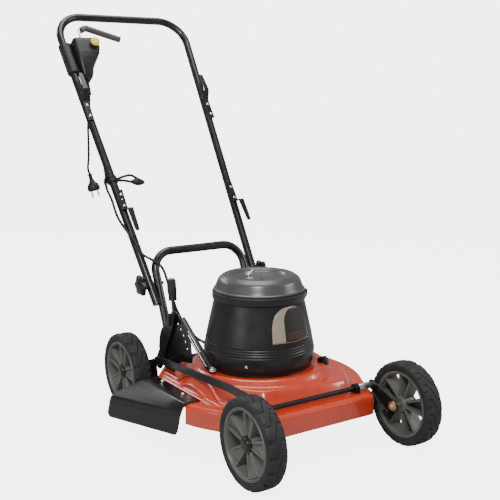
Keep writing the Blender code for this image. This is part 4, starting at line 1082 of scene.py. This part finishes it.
def switch_box():
    """Lofted box whose rounded section narrows downwards, and the ribbed sleeve round the tube."""
    # Each station: along, left x, right x, back, front
    stations = np.array([
        (0.7445, -0.18, -0.118, -0.015, 0.029), (0.7435, -0.183, -0.1125, -0.018, 0.0335),
        (0.738, -0.184, -0.109, -0.019, 0.0355), (0.715, -0.184, -0.1085, -0.019, 0.0355),
        (0.695, -0.184, -0.115, -0.019, 0.035), (0.678, -0.1835, -0.125, -0.0185, 0.0335),
        (0.662, -0.182, -0.135, -0.0175, 0.0305), (0.648, -0.18, -0.143, -0.0165, 0.0265),
        (0.628, -0.177, -0.148, -0.016, 0.02), (0.6222, -0.174, -0.151, -0.013, 0.015)])
    order = np.arange(len(stations))
    fine = np.linspace(0, order[-1], 46)
    along, left, right, back, front = (np.interp(fine, order, column)[:, None] for column in stations.T)
    section = box_section(1.0, 1.0, 0.16, 6)
    x = (left + right) / 2 + section[:, 0] * (right - left)
    ahead = (back + front) / 2 + section[:, 1] * (front - back)
    body = capped(on_handle(x, along, ahead))
    steps = np.linspace(0.64, 0.738, 50)[:, None]
    angle = bearings(40)
    swell = 0.0172 + 0.00045 * np.cos(TURN * (steps - 0.64) / 0.007)
    swell[[0, -1]] = 0.015
    centre_x = 0.003 - leg_x(steps)
    sleeve = capped(on_handle(centre_x + swell * 1.12 * np.cos(angle), steps, swell * np.sin(angle)))
    piece("switch_box", together(body, sleeve), CHARCOAL, "handle", ["switch_housing"], 42.0)
    count = np.arange(16)
    rings = 1 - 0.07 * (count % 2) - 0.022 * count
    path = on_handle(-0.166, np.linspace(0.6225, 0.58, 16), -0.0105)
    relief = swept(path, round_section(0.0095, 24) * (1.25, 0.85), rings, first=ACROSS)
    piece("cable_relief", relief, RUBBER, "handle")


def switch_parts():
    """Yellow lock button, and the squeeze lever: a bent zinc rod with a grey sleeve on its arm."""
    profile = rounded([(0.0, 0.0498), (0.01, 0.0494), (0.0134, 0.047), (0.0134, 0.042), (0.0055, 0.0418),
                       (0.0055, 0.03), (0.0, 0.03)], [0.003, 0.002, 0.0004, 0.0004, 0.0004], 5)
    button = turned(profile, on_handle(-0.127, 0.722), AHEAD, 56)
    piece("yellow_button", button, YELLOW, "push_button", ["lock_button"])
    places = ((-0.15, 0.7575), (-0.1475, 0.793), (-0.128, 0.7955), (-0.03, 0.7592))
    path = rounded([on_handle(x, along, 0.01) for x, along in places], 0.006, 8)
    piece("squeeze_rod", swept(path, round_section(0.0036, 20)), ZINC, "squeeze_lever", ["switch_lever"])
    places = ((-0.026, 0.7577), (-0.127, 0.7951), (-0.1425, 0.786))
    path = rounded([on_handle(x, along, 0.01) for x, along in places], 0.012, 10)
    path = np.concatenate([path[:1], path[:1] + (path[1] - path[0]) * 0.015, path[1:]])
    scale = np.ones(len(path))
    scale[0] = 0.84
    sleeve = swept(path, round_section(0.009, 32), scale)
    piece("squeeze_sleeve", sleeve, SLEEVE, "squeeze_lever", ["lever_sleeve"])


def restraint():
    """Clip round the right leg, with a flat eye beside it on two strands, and the cable tie above."""
    angle = bearings(40)
    steps = CLIP_ALONG + np.array([-0.006, -0.0052, 0.0052, 0.006])[:, None]
    radius = np.array([0.014, 0.015, 0.015, 0.014])[:, None]
    parts = [capped(on_handle(radius * np.cos(angle) - leg_x(steps), steps, radius * np.sin(angle)))]
    share = np.linspace(0, 1, 24)
    path = on_handle(-0.126 + 0.04 * share, CLIP_ALONG - 0.005 - 0.004 * share)
    swell = 0.25 + 0.75 * np.sin(math.pi * np.clip(share, 0.02, 0.98)) ** 0.7
    parts.append(swept(path, box_section(0.02, 0.012, 0.005), swell, first=UP))
    # Each strand's places: across, along from the clip, ahead
    strands = (
        ((-0.166, 0.003, 0.004), (-0.145, 0.01, 0.004), (-0.122, 0.013, 0.003), (-0.105, 0.004, 0.0),
         (-0.09, -0.006, 0.0)),
        ((-0.166, -0.001, 0.004), (-0.145, -0.003, 0.004), (-0.125, -0.007, 0.002), (-0.105, -0.012, 0.0),
         (-0.09, -0.007, 0.0)))
    for places in strands:
        route = smooth_route([on_handle(x, CLIP_ALONG + along, ahead) for x, along, ahead in places], 28)
        parts.append(swept(route, round_section(0.0036, 16)))
    piece("lead_restraint", together(*parts), RUBBER, "handle", ["cord_restraint"])
    steps = TIE_ALONG + np.array([-0.0022, 0.0022])[:, None]
    band = capped(on_handle(-0.1815 + 0.017 * np.cos(angle), steps, -0.003 + 0.016 * np.sin(angle)))
    places = ((-0.196, 0.0, 0.002), (-0.205, -0.008, 0.004), (-0.207, -0.022, 0.004))
    route = smooth_route([on_handle(x, TIE_ALONG + along, ahead) for x, along, ahead in places], 14)
    tail = swept(route, box_section(0.003, 0.001, 0.0003))
    piece("cable_tie", together(band, tail), SOFT_CAP, "handle")


def inner_parts():
    """CAD pieces that keep their own shape get their finish."""
    looks = {
        "motor_housing": STEEL, "upper_bearing": STEEL, "lower_bearing": STEEL, "motor_shaft": STEEL,
        "blade_adaptor": STEEL, "blade_bolt": ZINC, "rotor": LAMINATIONS, "cooling_fan": CHARCOAL,
        "micro_switch": CAP}
    for node, look in looks.items():
        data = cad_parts[node].data
        data.materials.clear()
        data.materials.append(look[0])
    eased("mower_blade", "cutting_blade", STEEL, "blade_rotor", 0.0008)


camera()
studio()
supply_lead(plug_body())
motor_cable()
for end in ENDS:
    for side, out in SIDES.items():
        tyre(end, side, out)
        rim(end, side, out)
        hub_cap(end, side, out)
        wheel_bolt(end, side, out)
axles()
deck()
deck_beads()
deflector()
deck_fasteners()
height_parts()
motor_cover()
label()
handles()
for side, out in SIDES.items():
    star_knob(side, out)
    for level in ("upper", "lower"):
        cord_hook(level, side, out)
switch_box()
switch_parts()
restraint()
inner_parts()

bpy.context.view_layer.update()
